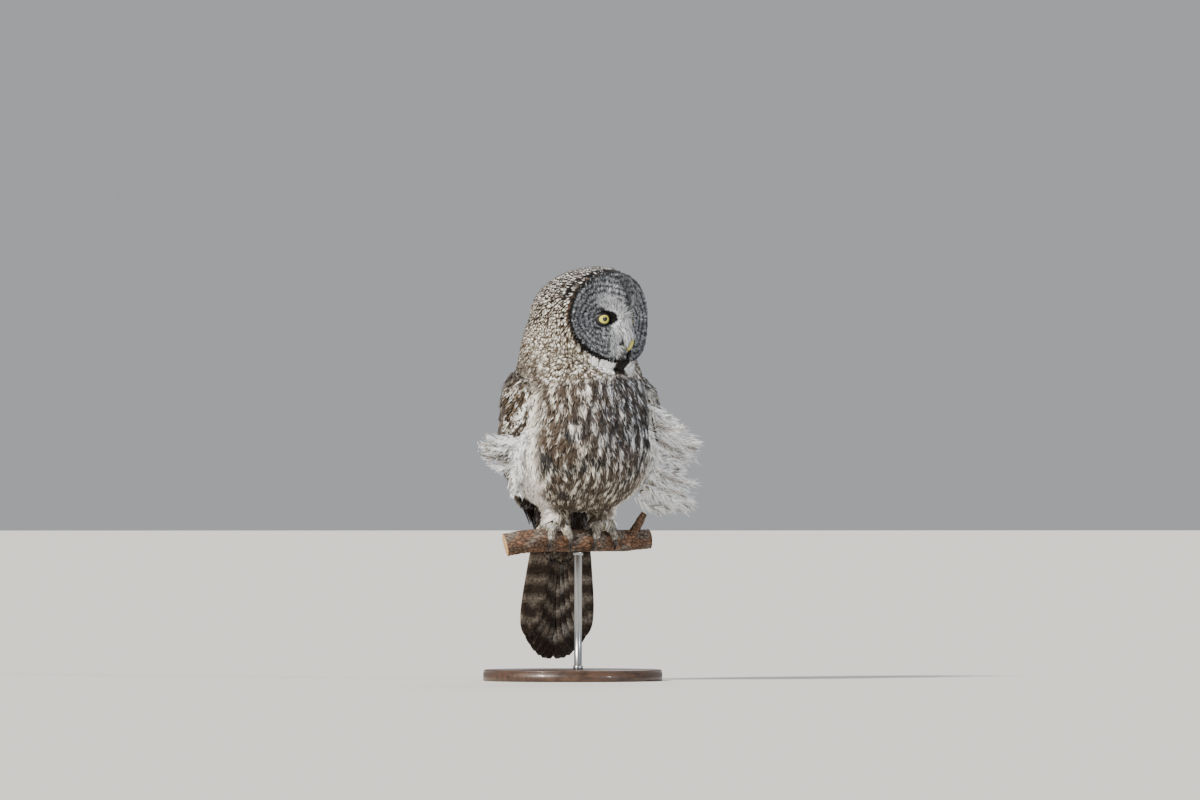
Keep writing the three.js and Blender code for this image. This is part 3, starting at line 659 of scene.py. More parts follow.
def tail_core_rings():
    stations = [(-0.1, 34, 16), (0.1, 40, 15), (0.25, 38, 9), (0.38, 30, 4), (0.47, 20, 1.6)]
    path = smooth_path([tail_line(s[0], 0) for s in stations], 16)
    size = smooth_path([s[1:] for s in stations], 16)
    return tube_rings(path, size[:, 0], size[:, 1], ACROSS, 40)


def build_skin(frame):
    """One closed skin under the whole coat, from the chin to the toes and the root of the tail."""
    turn = np.linspace(0, 360, 110, endpoint=False)
    heights = mix(TORSO[0][0], TORSO[-1][0], np.linspace(0, 1, 64) ** 1.6)
    torso_rings = [on_body(torso_at, 1, turn, z, 0) for z in heights]
    drafts = [
        sunk(draft(torso_rings), lambda points: DEPTH["torso"]),
        sunk(draft(head_rings()), head_depth),
        draft(tail_core_rings()),
    ]
    for side, name in SIDES:
        drafts.append(draft(wing_core_rings(side)))
        drafts.append(shrunk_copy(frame, "leg_" + name, DEPTH["leg"]))
        drafts.append(shrunk_copy(frame, "foot_" + name, DEPTH["foot"]))
        shank = [(side * LEG_X, -2, 240), (side * LEG_X, -1, 262), (side * (LEG_X - 2), 4, 300)]
        radii = np.linspace(9, 22, 12)
        drafts.append(draft(tube_rings(smooth_path(shank, 12), radii, radii, ACROSS, 24)))
    points, faces, offset = [], [], 0
    for piece in drafts:
        points.append(mesh_arrays(piece.data)[0])
        faces += [tuple(offset + k for k in polygon.vertices) for polygon in piece.data.polygons]
        offset += len(points[-1])
        bpy.data.objects.remove(piece)
    skin = add_mesh("skin", np.concatenate(points), faces)
    make_even(skin, SKIN_VOXEL, 3)
    return skin


class Ground:
    """The skin as something to root feathers on and to lay them along."""

    def __init__(self, skin):
        self.points, self.normals = mesh_arrays(skin.data)
        faces = [polygon.vertices[:] for polygon in skin.data.polygons]
        self.tree = BVHTree.FromPolygons(self.points.tolist(), faces)

    def nearest(self, points):
        found = [self.tree.find_nearest(Vector(p)) for p in points]
        return np.array([f[0] for f in found]), np.array([f[1] for f in found])


def regions(ground):
    """Which part of the bird each point of the skin belongs to."""
    points = ground.points
    u, v, w = head_places(points)
    face = (disc_share(u, v) < 0.985) & (w > 30) & (ground.normals @ FORWARD > 0.05)
    along, across = np.meshgrid(np.linspace(0.0, 0.62, 60), np.linspace(0, 1, 44))
    samples = np.concatenate([wing_core_top(side, along, across).reshape(-1, 3) for side in (-1, 1)])
    nearby = KDTree(len(samples))
    for i, sample in enumerate(samples):
        nearby.insert(sample, i)
    nearby.balance()
    from_wing = np.array([nearby.find(point)[2] for point in points.tolist()])
    wing = (from_wing < 3.2) & (points[:, 2] > 150)
    foot = (points[:, 2] < FOOT_BELOW) & (abs(points[:, 1]) < 40)
    from_leg = np.hypot(abs(points[:, 0]) - LEG_X, points[:, 1])
    leg = (points[:, 2] < LEG_BELOW) & (from_leg < 24) & ~foot
    tail = (points[:, 1] > 62) & (points[:, 2] < 262)
    rest = ~(face | wing | foot | leg | tail)
    head = points[:, 2] > HEAD_ABOVE
    front = points[:, 1] < 20
    return {
        "face": face,
        "wing": wing & ~tail,
        "foot": foot,
        "leg": leg,
        "tail": tail & ~wing,
        "head": rest & head,
        "front": rest & ~head & front,
        "back": rest & ~head & ~front,
    }


# Markings: t and s are shares along and across a feather, first and second its own random numbers
def eye_offsets(u, v):
    """How far a place on the face lies outwards of and above the nearer eye."""
    return abs(u) - EYE["lateral"], v - EYE["up"]


def socket_share(u, v):
    """The bare black skin round an eye, widest above it and at its inner corner: under 1 inside."""
    out, above = eye_offsets(u, v)
    return np.hypot(out / np.where(out < 0, 15.5, 11.5), above / np.where(above > 0, 14.5, 10.5))


PALE_CRESCENT = np.array([(31, 23), (23, 19), (15, 11), (10, -2), (9.5, -14), (11, -27)], float)


def crescent_share(u, v):
    """The pale crescent from over each eye down to the bill: 1 along its middle."""
    path = smooth_path(PALE_CRESCENT, 24)
    distance = np.min(np.hypot(abs(u)[..., None] - path[:, 0], v[..., None] - path[:, 1]), -1)
    return 1 - ramp(distance, 4, 9)


def face_colours(points, t, s, first, second):
    """The facial disc: broken rings round each eye, pale crescents, black sockets, a dark rim."""
    u, v, _ = head_places(points)
    out, above = eye_offsets(u, v)
    distance, turn = np.hypot(out, above), np.arctan2(above, out)
    place = np.stack([u, v, 0 * u], -1)
    ripple = distance + 1.1 * np.sin(5 * turn + 0.1 * distance) + 3.2 * (first - 0.5)
    ripple = ripple + 1.3 * waves(place, 16, 52)
    ring = ramp(np.cos(ripple * 2 * math.pi / RING_GAP), -0.05, 0.5)
    ring = ring * ramp(waves(place, 7, 51), -1.1, -0.2)
    fine = ramp(np.cos(ripple * 2 * math.pi / FINE_RING_GAP + 2 * second), 0.0, 0.6)
    pale = blend(srgb(100, 103, 110), srgb(188, 191, 197), second)
    dark = blend(srgb(50, 50, 54), CHARCOAL * 0.45, first)
    colour = blend(pale, dark, 0.34 * fine + 0.88 * ring * (1 - 0.25 * (second > 0.8)))
    middle = bell(u, 4.2) * band(v, -8, 62, 5) * (0.6 + 0.4 * np.sin(v * 0.9 + 9 * first))
    colour = blend(colour, CHARCOAL * 0.6, middle)
    hair = (0.72 + 0.4 * second)[..., None]
    colour = blend(colour, srgb(202, 206, 211) * hair, crescent_share(u, v))
    beside_bill = bell(abs(u) - 15, 7) * band(v, -75, -42, 10)
    colour = blend(colour, srgb(206, 207, 209) * hair, 0.55 * beside_bill * (first > 0.3))
    socket = 1 - ramp(socket_share(u, v) + 0.14 * (first - 0.5), 0.9, 1.06)
    colour = blend(colour, blend(BLACK, CHARCOAL, 0.4 * second), socket)
    under_bill = (1 - ramp(abs(u) + 3 * first, 8, 13)) * (1 - ramp(v, -62, -54))
    colour = blend(colour, BLACK, under_bill)
    rim = ramp(disc_share(u, v), 0.955, 0.975) * np.where(first > 0.84, 0.2, 1)
    return with_mottle(blend(colour, BLACK * 1.2, rim), 0.24 * (1 - socket))


def head_colours(points, t, s, first, second):
    """Outside the disc: pale dashes on brown, the white moustaches, the black chin and dark rim."""
    u, v, w = head_places(points)
    low = 1 - ramp(v, -55, 15)
    crown = ramp(v, 5, 45)
    pale_width = 0.42 + 0.14 * low * ramp(w, -75, -20) + 0.34 * (second - 0.5)
    across = abs(s - 0.45 * np.sign(first - 0.5) * (1 - low))
    dash = 1 - ramp(across, pale_width - 0.14, pale_width + 0.1)
    dash = dash * band(t, mix(0.52, 0.58, crown), 0.94, 0.05)
    dark = blend(blend(DEEP_BROWN, BROWN, second), blend(BROWN, OLIVE, second), low * 0.8)
    dark = blend(dark, CHARCOAL, crown * mix(0.1, 0.4, ramp(w, 10, 50)))
    pale = blend(blend(CREAM, WHITE, second), WHITE, crown)
    colour = blend(dark, pale, dash * np.where(first * 7 % 1 > 0.14, 1, 0.25))
    behind = behind_rim(u, v, w)
    near_disc = (disc_share(u, v) > 0.96) & (w > -10)
    rusty = band(behind, 4.5, 9.5, 1.2) * near_disc * ramp(v, -25, 5)
    colour = blend(colour, blend(RUFOUS, UMBER, first), 0.85 * rusty)
    black_rim = (1 - ramp(behind, 3.0, 4.5)) * near_disc
    colour = blend(colour, BLACK * 1.3, black_rim * (1 - 0.9 * (first > 0.86)))
    under = (w > 5) & (v < -40)
    side = abs(u)
    moustache_v = np.where(side > 20, -77 + 12 * ((side - 20) / 28) ** 2, -77)
    half = mix(11.5, 5.5, ramp(side, 22, 50))
    moustache = (1 - ramp(abs(v - moustache_v) / half, 0.8, 1.15)) * band(side, 12, 50, 2) * under
    speck = np.where((first > 0.72) & (side > 30), 0.1, 1)
    beyond = band(side, 38, 66, 5) * band(behind, 2, 13, 2) * under * (v < -34)
    fleck = blend(BLACK * 1.5, WHITE, (first * 5 % 1 > 0.45) * 1.0)
    colour = blend(colour, fleck, 0.85 * beyond)
    colour = blend(colour, srgb(249, 250, 252), moustache * speck)
    chin = (1 - ramp(side + 3 * first, 11, 14.5)) * band(v + 7 * second, -84, -50, 3) * (w > 30)
    colour = blend(colour, blend(BLACK * 1.6, UMBER, 0.6 * second), chin)
    return with_mottle(colour, 0.24 * (1 - 0.7 * np.maximum(moustache, chin)))


def torso_colours(points, t, s, first, second):
    """Breast, belly, flanks and back: long dark streaks and blotches on bluish white and cream, with
    painted light: warm and cream on the side the key light falls on, bluish as painted cool shade on the
    other side.
    """
    x, z, turn = points[..., 0], points[..., 2], torso_turn(points)
    behind = ramp(-turn, -2, 25)
    # painted light: warm towards the bird's right, where the key light falls, and cool on its left; the
    # low belly's cream is its own colour; the mask also mixes streaks with blotches
    lit_side_and_cream_belly = np.clip(ramp(-x, -30, 60) * 0.9 + (1 - ramp(z, 300, 390)), 0, 1)
    streaks = waves(points, (14, 14, 50), 3) * 0.5 + waves(points, (7, 7, 20), 5) * 0.4
    blotches = waves(points, (17, 17, 30), 8) * 0.5 + waves(points, (8, 8, 13), 9) * 0.4
    field = mix(streaks, blotches, mix(0.25, 0.5, lit_side_and_cream_belly))
    shaft = 0.7 - 1.2 * abs(s) + 0.7 * (first - 0.5)
    dark_share = ramp(field + 0.5 * shaft + 0.44, -0.16, 0.5) * ramp(t, 0.1, 0.35)
    # painted shade: bluish white away from the key light, cream white on the lit side
    pale = blend(blend(COOL_SHADED_WHITE, WHITE, second), blend(CREAM, WHITE, second * 0.8), lit_side_and_cream_belly)
    pale = blend(pale, PALE_GREY, 0.35 * (first > 0.6))
    dark = blend(blend(CHARCOAL, UMBER, second), blend(UMBER, BROWN, second), lit_side_and_cream_belly)
    deep_patch = ramp(waves(points, (44, 44, 40), 21), 0.35, 0.75) * band(z, 280, 400, 20)
    dark = blend(dark, CHARCOAL * 0.8, deep_patch)
    flank = band(turn, -12, 36, 7) * band(z, 292, 452, 12)
    flank = np.maximum(flank, band(turn, -40, 30, 8) * (1 - ramp(z, 316, 346)))
    dark_share = dark_share * (1 - 0.78 * flank)
    pale = blend(pale, blend(CREAM, WHITE, 0.4 + 0.6 * second), flank)
    tinge = (1 - ramp(z, 272, 292)) * ramp(turn, 20, 50)
    pale = blend(pale, TAN, 0.4 * tinge)
    colour = blend(pale, dark, 0.95 * dark_share)
    bars = 0.5 + 0.5 * np.sin(26 * t + 6 * first)
    back = blend(DEEP_BROWN, UMBER, second)
    back = blend(back, PALE_GREY * 0.75, 0.55 * bars * ramp(abs(s), 0.15, 0.5))
    back = blend(back, CREAM * 0.8, (first > 0.8) * ramp(t, 0.6, 0.8) * 0.6)
    return with_mottle(blend(colour, back, behind), 0.17 - 0.08 * flank)


def wing_colours(points, t, s, first, second, barred=2, edge=0.0):
    """Flight feathers and coverts: dark brown, barred or mottled with buff, one web paler."""
    bars = ramp(np.sin(2 * math.pi * (t * barred + 0.25 * first) + 1.2 * abs(s)), 0.1, 0.7)
    dark = blend(DEEP_BROWN, UMBER, second)
    pale = blend(blend(TAN * 0.85, PALE_GREY * 0.42, 0.7 * first), CREAM * 0.7, 0.45 * second)
    outer = ramp(s, 0.1, 0.7)
    share = 0.03 + 0.5 * bars * (0.3 + 0.7 * outer) + 0.12 * waves(points, 14, 31)
    colour = blend(dark, pale, share * ramp(t, 0.05, 0.3))
    spot = (first > 0.6) * outer * band(t, 0.7, 0.86, 0.05)
    colour = blend(colour, CREAM, 0.6 * spot)
    return with_mottle(blend(colour, WHITE * 0.9, edge * (0.75 - 0.5 * (second > 0.7))), 0.4)


def tail_colours(points, t, s, first, second, barred=2):
    bars = ramp(np.sin(2 * math.pi * (t * barred + 0.05 * first) + 0.8 * abs(s)), 0.0, 0.5)
    pale = blend(PALE_GREY * 0.55, TAN * 0.75, 0.35 + 0.4 * second)
    return with_mottle(blend(blend(DEEP_BROWN, UMBER, second), pale, 0.72 * bars), 0.42)


def leg_colours(points, t, s, first, second):
    base = blend(CREAM * 0.85, PALE_GREY, first)
    bars = 0.5 + 0.5 * np.sin(points[..., 2] * 0.8 + 5 * second)
    toe = ramp(-points[..., 2], -246, -230)
    share = mix(0.35, 0.7, toe) * bars * ramp(t, 0.4, 0.8) + 0.45 * toe * (first > 0.72)
    return with_mottle(blend(base, BROWN, share), 0.2)


def skin_colours(ground, parts):
    """The coat's markings on the skin under it, darkened as painted shade so that gaps in the coat look
    shadowed.
    """
    points = ground.points
    half = np.full(len(points), 0.6)
    first, second = 0.5 + 0.5 * waves(points, 7, 41), 0.5 + 0.5 * waves(points, 9, 43)
    shares = (half, 0.4 * half, first, second)
    colours = torso_colours(points, *shares)
    for name, own in (
        ("face", face_colours(points, *shares)),
        ("head", head_colours(points, *shares)),
        ("wing", wing_colours(points, *shares, 3)),
        ("tail", tail_colours(points, *shares, 3)),
        ("leg", leg_colours(points, *shares)),
        ("foot", leg_colours(points, *shares)),
    ):
        colours[parts[name]] = own[parts[name]]
    # painted shade: the skin's colours darkened so the gaps between feathers look shadowed
    colours[:, :3] *= SKIN_PAINTED_SHADE
    return colours


def head_markings(points, *shares):
    """The head's markings, which pass into the breast's below the moustaches."""
    u, v, w = head_places(points)
    throat = (1 - ramp(v + 0.12 * abs(u), -96, -86)) * ramp(w, -30, 20)
    lower = (1 - ramp(points[..., 2] + 9 * waves(points, 24, 61), 474, 512)) * (1 - ramp(w, -25, 5))
    share = np.maximum(throat, 0.9 * lower)
    return blend(head_colours(points, *shares), torso_colours(points, *shares), share)


def shoulder_markings(points, t, s, first, second):
    """The neck's dashes, which pass into the wing's browns down the shoulder."""
    share = ramp(-points[..., 2] + 10 * waves(points, 22, 63) + 26 * (first - 0.5), -476, -440)
    shares = (t, s, first, second)
    return blend(head_colours(points, *shares), wing_colours(points, *shares), share)


def wing_edge_markings(points, t, s, first, second):
    """The wing's browns, with pale and tan feathers among them as along its front edge."""
    colours = wing_colours(points, t, s, first, second, edge=0.7 * (first > 0.66))
    tan = with_mottle(blend(BROWN, TAN, second), colours[..., 3])
    return blend(colours, tan, 0.5 * (first < 0.5))


# Feathers
ROUND_OUTLINE = (0.45, 0.85, 1.0, 0.92, 0.4)
LONG_OUTLINE = (0.5, 0.9, 1.0, 0.78, 0.2)
FINE_OUTLINE = (0.5, 0.9, 1.0, 0.75, 0.15)
FLIGHT_ROWS = 1 - (1 - np.linspace(0, 1, 24)) ** 1.25
FLIGHT_OUTLINE = np.interp(
    FLIGHT_ROWS,
    [0, 0.15, 0.3, 0.44, 0.69, 0.79, 0.87, 0.93, 0.97, 1.0],
    [0.6, 0.8, 0.92, 0.98, 1, 0.97, 0.88, 0.72, 0.5, 0.16],
)


def roots_on(ground, keep, spacing, random):
    """Roots about as far apart as the spacing, on the kept points of the skin."""
    copies = max(1, math.ceil(3 * (SKIN_VOXEL / spacing) ** 2))
    roots = np.repeat(ground.points[keep], copies, 0)
    roots = random.permutation(roots + random.uniform(-0.5, 0.5, roots.shape) * SKIN_VOXEL)
    _, first = np.unique(np.floor(roots / spacing).astype(int), axis=0, return_index=True)
    return roots[np.sort(first)]


def lay_feathers(ground, roots, lies, length, lift, rows, wander):
    """Paths of feathers that follow the skin from their roots, with the ways out and on at each row.

    lift gives how far out a feather stands at its root and at its tip.
    """
    places, normals = ground.nearest(roots)
    direction = unit(lies - normals * np.sum(lies * normals, -1, keepdims=True))
    paths, outs, heads = [], [], []
    for i in range(rows):
        height = np.broadcast_to(mix(lift[0], lift[1], (i / (rows - 1)) ** 0.8), len(roots))
        paths.append(places + normals * height[:, None])
        outs.append(normals)
        heads.append(direction)
        if i + 1 < rows:
            sideways = np.cross(normals, direction)
            direction = unit(direction + sideways * (wander / rows)[:, None])
            places, next_normals = ground.nearest(places + direction * (length / (rows - 1))[:, None])
            normals = unit(normals * 0.4 + next_normals * 0.6)
            direction = unit(direction - normals * np.sum(direction * normals, -1, keepdims=True))
    return np.stack(paths, 1), np.stack(outs, 1), np.stack(heads, 1)


def vane_points(paths, outs, heads, width, outline, columns, random):
    """Points of a vane along each path, by feather, row and column, with a ragged tip."""
    across = unit(np.cross(outs, heads))
    share = np.linspace(-1, 1, columns)[None, None, :, None]
    half = (width[:, None] * np.asarray(outline)[None, :] / 2)[..., None, None]
    points = paths[:, :, None] + across[:, :, None] * half * share
    points = points - outs[:, :, None] * VANE_CUP * half * share**2
    step = np.linalg.norm(paths[:, -1] - paths[:, -2], axis=-1)
    pull = random.uniform(-RAGGED_TIP, RAGGED_TIP, (len(paths), columns)) * step[:, None]
    points[:, -1] += heads[:, -1, None] * pull[..., None]
    return points


def bend(start, middle, end, t):
    """Points along a bend from start to end, and which way it heads there."""
    points = start * (1 - t) ** 2 + middle * 2 * t * (1 - t) + end * t * t
    return points, unit((middle - start) * (1 - t) + (end - middle) * t)


def ribbons(start, middle, end, facing, width):
    """Tapered ribbons, two columns wide, along bends from start to end, and the shares along them."""
    t = np.linspace(0, 1, RIBBON_ROWS)[None, :, None]
    path, along = bend(start[:, None], middle[:, None], end[:, None], t)
    across = unit(np.cross(along, facing[:, None]))
    taper = (1 - t**1.5) * 0.94 + 0.06
    edge = across * width[:, None, None] * taper / 2
    return np.stack([path - edge, path + edge], 2), t


def feather_mesh(name, points, colours, chart):
    count, rows, columns = points.shape[:3]
    one = [
        (i * columns + j, i * columns + j + 1, (i + 1) * columns + j + 1, (i + 1) * columns + j)
        for i in range(rows - 1)
        for j in range(columns - 1)
    ]
    faces = (np.array(one)[None] + np.arange(count)[:, None, None] * rows * columns).reshape(-1, 4)
    mesh = bpy.data.meshes.new(name)
    mesh.vertices.add(count * rows * columns)
    move_points(mesh, points)
    mesh.loops.add(faces.size)
    mesh.loops.foreach_set("vertex_index", faces.ravel())
    mesh.polygons.add(len(faces))
    mesh.polygons.foreach_set("loop_start", np.arange(0, faces.size, 4))
    mesh.update(calc_edges=True)
    mesh.shade_smooth()
    paint(mesh, contrasted(colours))
    vane = np.stack(np.meshgrid(np.linspace(0, 1, columns), np.linspace(0, 1, rows)), -1).reshape(-1, 2)
    local = np.broadcast_to(vane, (count, rows * columns, 2)).reshape(-1, 2)
    baked = (np.clip(chart, 0.002, 0.998)[:, None] + (vane - 0.5)[None] * 0.003).reshape(-1, 2)
    for layer_name, places in (("OFBake", baked), ("vane", local)):
        layer = mesh.uv_layers.new(name=layer_name)
        layer.data.foreach_set("uv", places[faces.ravel()].ravel())
    return mesh


def feather_pieces(name, points, colours, chart, material, slot, thickness=0):
    """Joined meshes of many vanes, each under the most triangles that a piece may have."""
    per_feather = 2 * (points.shape[1] - 1) * (points.shape[2] - 1)
    parts = math.ceil(len(points) * per_feather / MOST_TRIANGLES)
    for k, chosen in enumerate(np.array_split(np.arange(len(points)), parts)):
        own_name = f"{name}_{k + 1}" if parts > 1 else name
        mesh = feather_mesh(own_name, points[chosen], colours[chosen], chart[chosen])
        piece = add_object(own_name, mesh)
        if thickness:
            solid = piece.modifiers.new("thickness", "SOLIDIFY")
            solid.thickness = thickness * MM
            apply_modifiers(piece)
        finish_piece(piece, material, slot)


def body_chart(points):
    turn = np.arctan2(points[:, 1], points[:, 0]) / (2 * math.pi) + 0.5
    return np.stack([turn, points[:, 2] / 660], -1)


def head_chart(points):
    u, v, w = head_places(points)
    around = np.arctan2(v, u) / (2 * math.pi) + 0.5
    return np.stack([around, np.arctan2(np.hypot(u, v), w) / math.pi], -1)


def face_chart(points):
    u, v, _ = head_places(points)
    return np.stack([u / 180 + 0.5, v / 160 + 0.5], -1)


def lie_of(points):
    """Which way feathers lie: back over the head, down the neck and body, and back under the belly."""
    u, v, w = head_places(points)
    height = ramp(points[:, 2], 492, 540)
    back_share = mix(0.35, 1.0, ramp(v, -60, 20)) * ramp(w, -95, -20) * height
    down_share = mix(1.0, 0.3, ramp(v, -20, 50) * height * ramp(w, -95, -20))
    lie = -FORWARD * back_share[:, None] - UP * down_share[:, None]
    outward = np.sign(u) * 0.5 * ramp(w, 20, 50) * ramp(abs(u), 8, 40) * height
    under_belly = np.array([0, 0.6, 0]) * (1 - ramp(points[:, 2], 285, 330))[:, None]
    aside = np.sign(points[:, 0]) * 0.3 * ramp(abs(points[:, 0]), 50, 110) * (1 - height)
    return lie + LEFT * outward[:, None] + under_belly + ACROSS * aside[:, None]


def random_shares(random, points, t, s):
    """Arrays for a markings function: along and across each vane, and two random numbers for each."""
    count = len(points)
    first, second = (random.random(count)[:, None, None] for _ in range(2))
    return np.broadcast_arrays(t, s, first, second, points[..., 0])[:4]


def coat(
    name, ground, roots, size, random, markings, chart, material, slot,
    lies=None, columns=5, outline=ROUND_OUTLINE, unruly=0.12,
):
    """A coat of vanes. size gives the ranges of their length, width and lift at the tip."""
    count = len(roots)
    share = random.random(count)
    length, width = (mix(np.asarray(pair[0]), np.asarray(pair[1]), share) for pair in size[:2])
    high = mix(size[2][0], size[2][1], random.random(count))
    lies = lie_of(roots) if lies is None else lies
    lies = unit(lies) + random.normal(scale=unruly, size=(count, 3))
    wander = waves(roots, 60, 11) * 0.3 + random.normal(scale=0.1, size=count)
    paths, outs, heads = lay_feathers(ground, roots, lies, length, (0.2, high), COAT_ROWS, wander)
    points = vane_points(paths, outs, heads, width, outline, columns, random)
    t, s = np.meshgrid(np.linspace(0, 1, COAT_ROWS), np.linspace(-1, 1, columns), indexing="ij")
    colours = markings(points, *random_shares(random, points, t[None], s[None]))
    feather_pieces(name, points, colours, chart(roots), material, slot)


def coat_body(ground, parts, feathers, random):
    size = ((26, 40), (7.5, 12), (6.0, 10.0))
    for name, spacing in (("front", 5.4), ("back", 6.2)):
        roots = roots_on(ground, parts[name], spacing, random)
        own = ("coat_" + name, ground, roots, size, random, torso_colours, body_chart)
        coat(*own, feathers, "body_feathers", columns=6, outline=LONG_OUTLINE)


def coat_head(ground, parts, feathers, random):
    roots = roots_on(ground, parts["head"], 3.9, random)
    low = 1 - ramp(roots[:, 2], 485, 575)
    long = (mix(10, 19, low), mix(13.5, 26, low))
    wide = (mix(4.8, 7.2, low), mix(6.6, 10.4, low))
    size = (long, wide, (mix(4.6, 6.5, low), mix(6.0, 8.6, low)))
    own = ("coat_head", ground, roots, size, random, head_markings, head_chart)
    coat(*own, feathers, "head_feathers")


def coat_face(ground, parts, feathers, random):
    roots = roots_on(ground, parts["face"], 1.75, random)
    u, v, _ = head_places(roots)
    out, above = eye_offsets(u, v)
    distance = np.hypot(out, above)
    clear = (distance > 10.3) & ~((abs(u) < 7) & (v < -13) & (v > -54))
    roots, u, out, above, distance = (k[clear] for k in (roots, u, out, above, distance))
    lies = LEFT * (np.sign(u) * out / distance)[:, None] + UP * (above / distance)[:, None]
    near = 1 - ramp(distance, 12, 32)
    size = ((8 - 2.5 * near, 12 - 4 * near), (1.9, 3.0), (1.6, 3.2))
    own = ("coat_face", ground, roots, size, random, face_colours, face_chart)
    coat(*own, feathers, "head_feathers", lies=lies, columns=3, outline=FINE_OUTLINE, unruly=0.07)


def coat_rest(ground, parts, feathers, random):
    """The small feathers of wings, rump, legs and feet."""
    wing, z = parts["wing"], ground.points[:, 2]
    shoulder = wing & (z > 444 + 8 * waves(ground.points, 30, 65))
    rows = WING_FRONT_EDGE[::-1]
    edge_turn = np.interp(z, [row[2] for row in rows], [row[1] for row in rows])
    edge = wing & (edge_turn - torso_turn(ground.points) < 20) & (z > 290)
    wing_size, shoulder_size = ((16, 24), (8, 12), (1.6, 3)), ((16, 24), (7.5, 11), (4.5, 7.5))
    edge_size, tail_size = ((14, 21), (6, 9), (8.5, 11.5)), ((24, 36), (10, 14), (2, 5))
    leg_size, foot_size = ((12, 17), (3.5, 5.5), (2.4, 4)), ((6.5, 10.5), (1.8, 2.8), (1.2, 2.8))
    loose, loose_long = {"unruly": 0.16}, {"unruly": 0.16, "outline": LONG_OUTLINE}
    for name, keep, spacing, size, markings, slot, shape in (
        ("coat_wings", wing, 5, wing_size, wing_colours, "wing_feathers", {}),
        ("coat_shoulders", shoulder, 5.4, shoulder_size, shoulder_markings, "wing_feathers", loose),
        ("coat_wing_edges", edge, 5, edge_size, wing_edge_markings, "wing_feathers", loose_long),
        ("coat_tail", parts["tail"], 5, tail_size, tail_colours, "tail_feathers", {}),
        ("coat_legs", parts["leg"], 3, leg_size, leg_colours, "leg_feathers", {}),
    ):
        roots = roots_on(ground, keep, spacing, random)
        coat(name, ground, roots, size, random, markings, body_chart, feathers, slot, **shape)
    roots = roots_on(ground, parts["foot"], 2.1, random)
    from_perch = np.hypot(roots[:, 1], roots[:, 2] - PERCH["z"])
    roots = roots[from_perch > PERCH["radius"] + 2.6]
    turn = np.arctan2(abs(roots[:, 1]), roots[:, 2] - PERCH["z"])
    lies = np.stack([0 * turn, np.sign(roots[:, 1]) * np.cos(turn), -np.sin(turn)], -1)
    own = ("coat_feet", ground, roots, foot_size, random, leg_colours, body_chart)
    coat(*own, feathers, "leg_feathers", lies=lies, columns=3, outline=FINE_OUTLINE)


# Wings and tail
def flight_arrays(count, random):
    t, s = np.meshgrid(FLIGHT_ROWS, np.linspace(-1, 1, 7), indexing="ij")
    return random_shares(random, np.zeros((count, *t.shape, 3)), t[None], s[None])


def build_wing(side, name, feathers, random):
    for tier, (count, root, tip, across, tip_across, out) in enumerate(WING_TIERS):
        t, s, first, second = flight_arrays(count, random)
        reach_across = 0.8 * FLIGHT_OUTLINE[None, :, None] * s
        share = (np.arange(count)[:, None, None] + reach_across) / (count - 1)
        along = t * (1 - 0.07 * first)
        u = mix(mix(*root, share), mix(*tip, share), along)
        v = mix(mix(*across, share), mix(*tip_across, share), along)
        lift = mix(*out, along) + 1.5 * reach_across + 0.7 * bell(s, 0.12) - 0.6 * s * s
        points = wing_sheet(side, u, v, lift + 0.5 * (second - 0.5))
        edge = 1 - ramp(v, 0.02, 0.14)
        colours = wing_colours(points, t, s, first, second, 6 if tier < 2 else 3, edge)
        own_name = f"wing_{name}_tier_{tier + 1}"
        chart = body_chart(points[:, 0, 3])
        own = (own_name, points, colours, chart, feathers, "wing_feathers")
        feather_pieces(*own, FLIGHT_THICKNESS)


def build_tail(feathers, random):
    pairs = TAIL["pairs"]
    t, s, first, second = flight_arrays(2 * pairs, random)
    i = np.repeat(np.arange(pairs), 2)[:, None, None]
    side = np.tile([-1, 1], pairs)[:, None, None]
    layer = (pairs / 2 - i) * 1.4 - np.where(side > 0, 0.7, 0)
    points = tail_line(mix(0.1, 1 - 0.005 * i * i, t), layer + 0.5 * bell(s, 0.12) - 0.5 * s * s)
    points[..., 0] = side * mix(3 + 3.4 * i, 7 + 8 * i, t) + 20 * FLIGHT_OUTLINE[None, :, None] * s
    colours = tail_colours(points, t, s, first, second, 7)
    own = ("tail_feathers", points, colours, body_chart(points[:, 0, 3]), feathers, "tail_feathers")
    feather_pieces(*own, FLIGHT_THICKNESS)


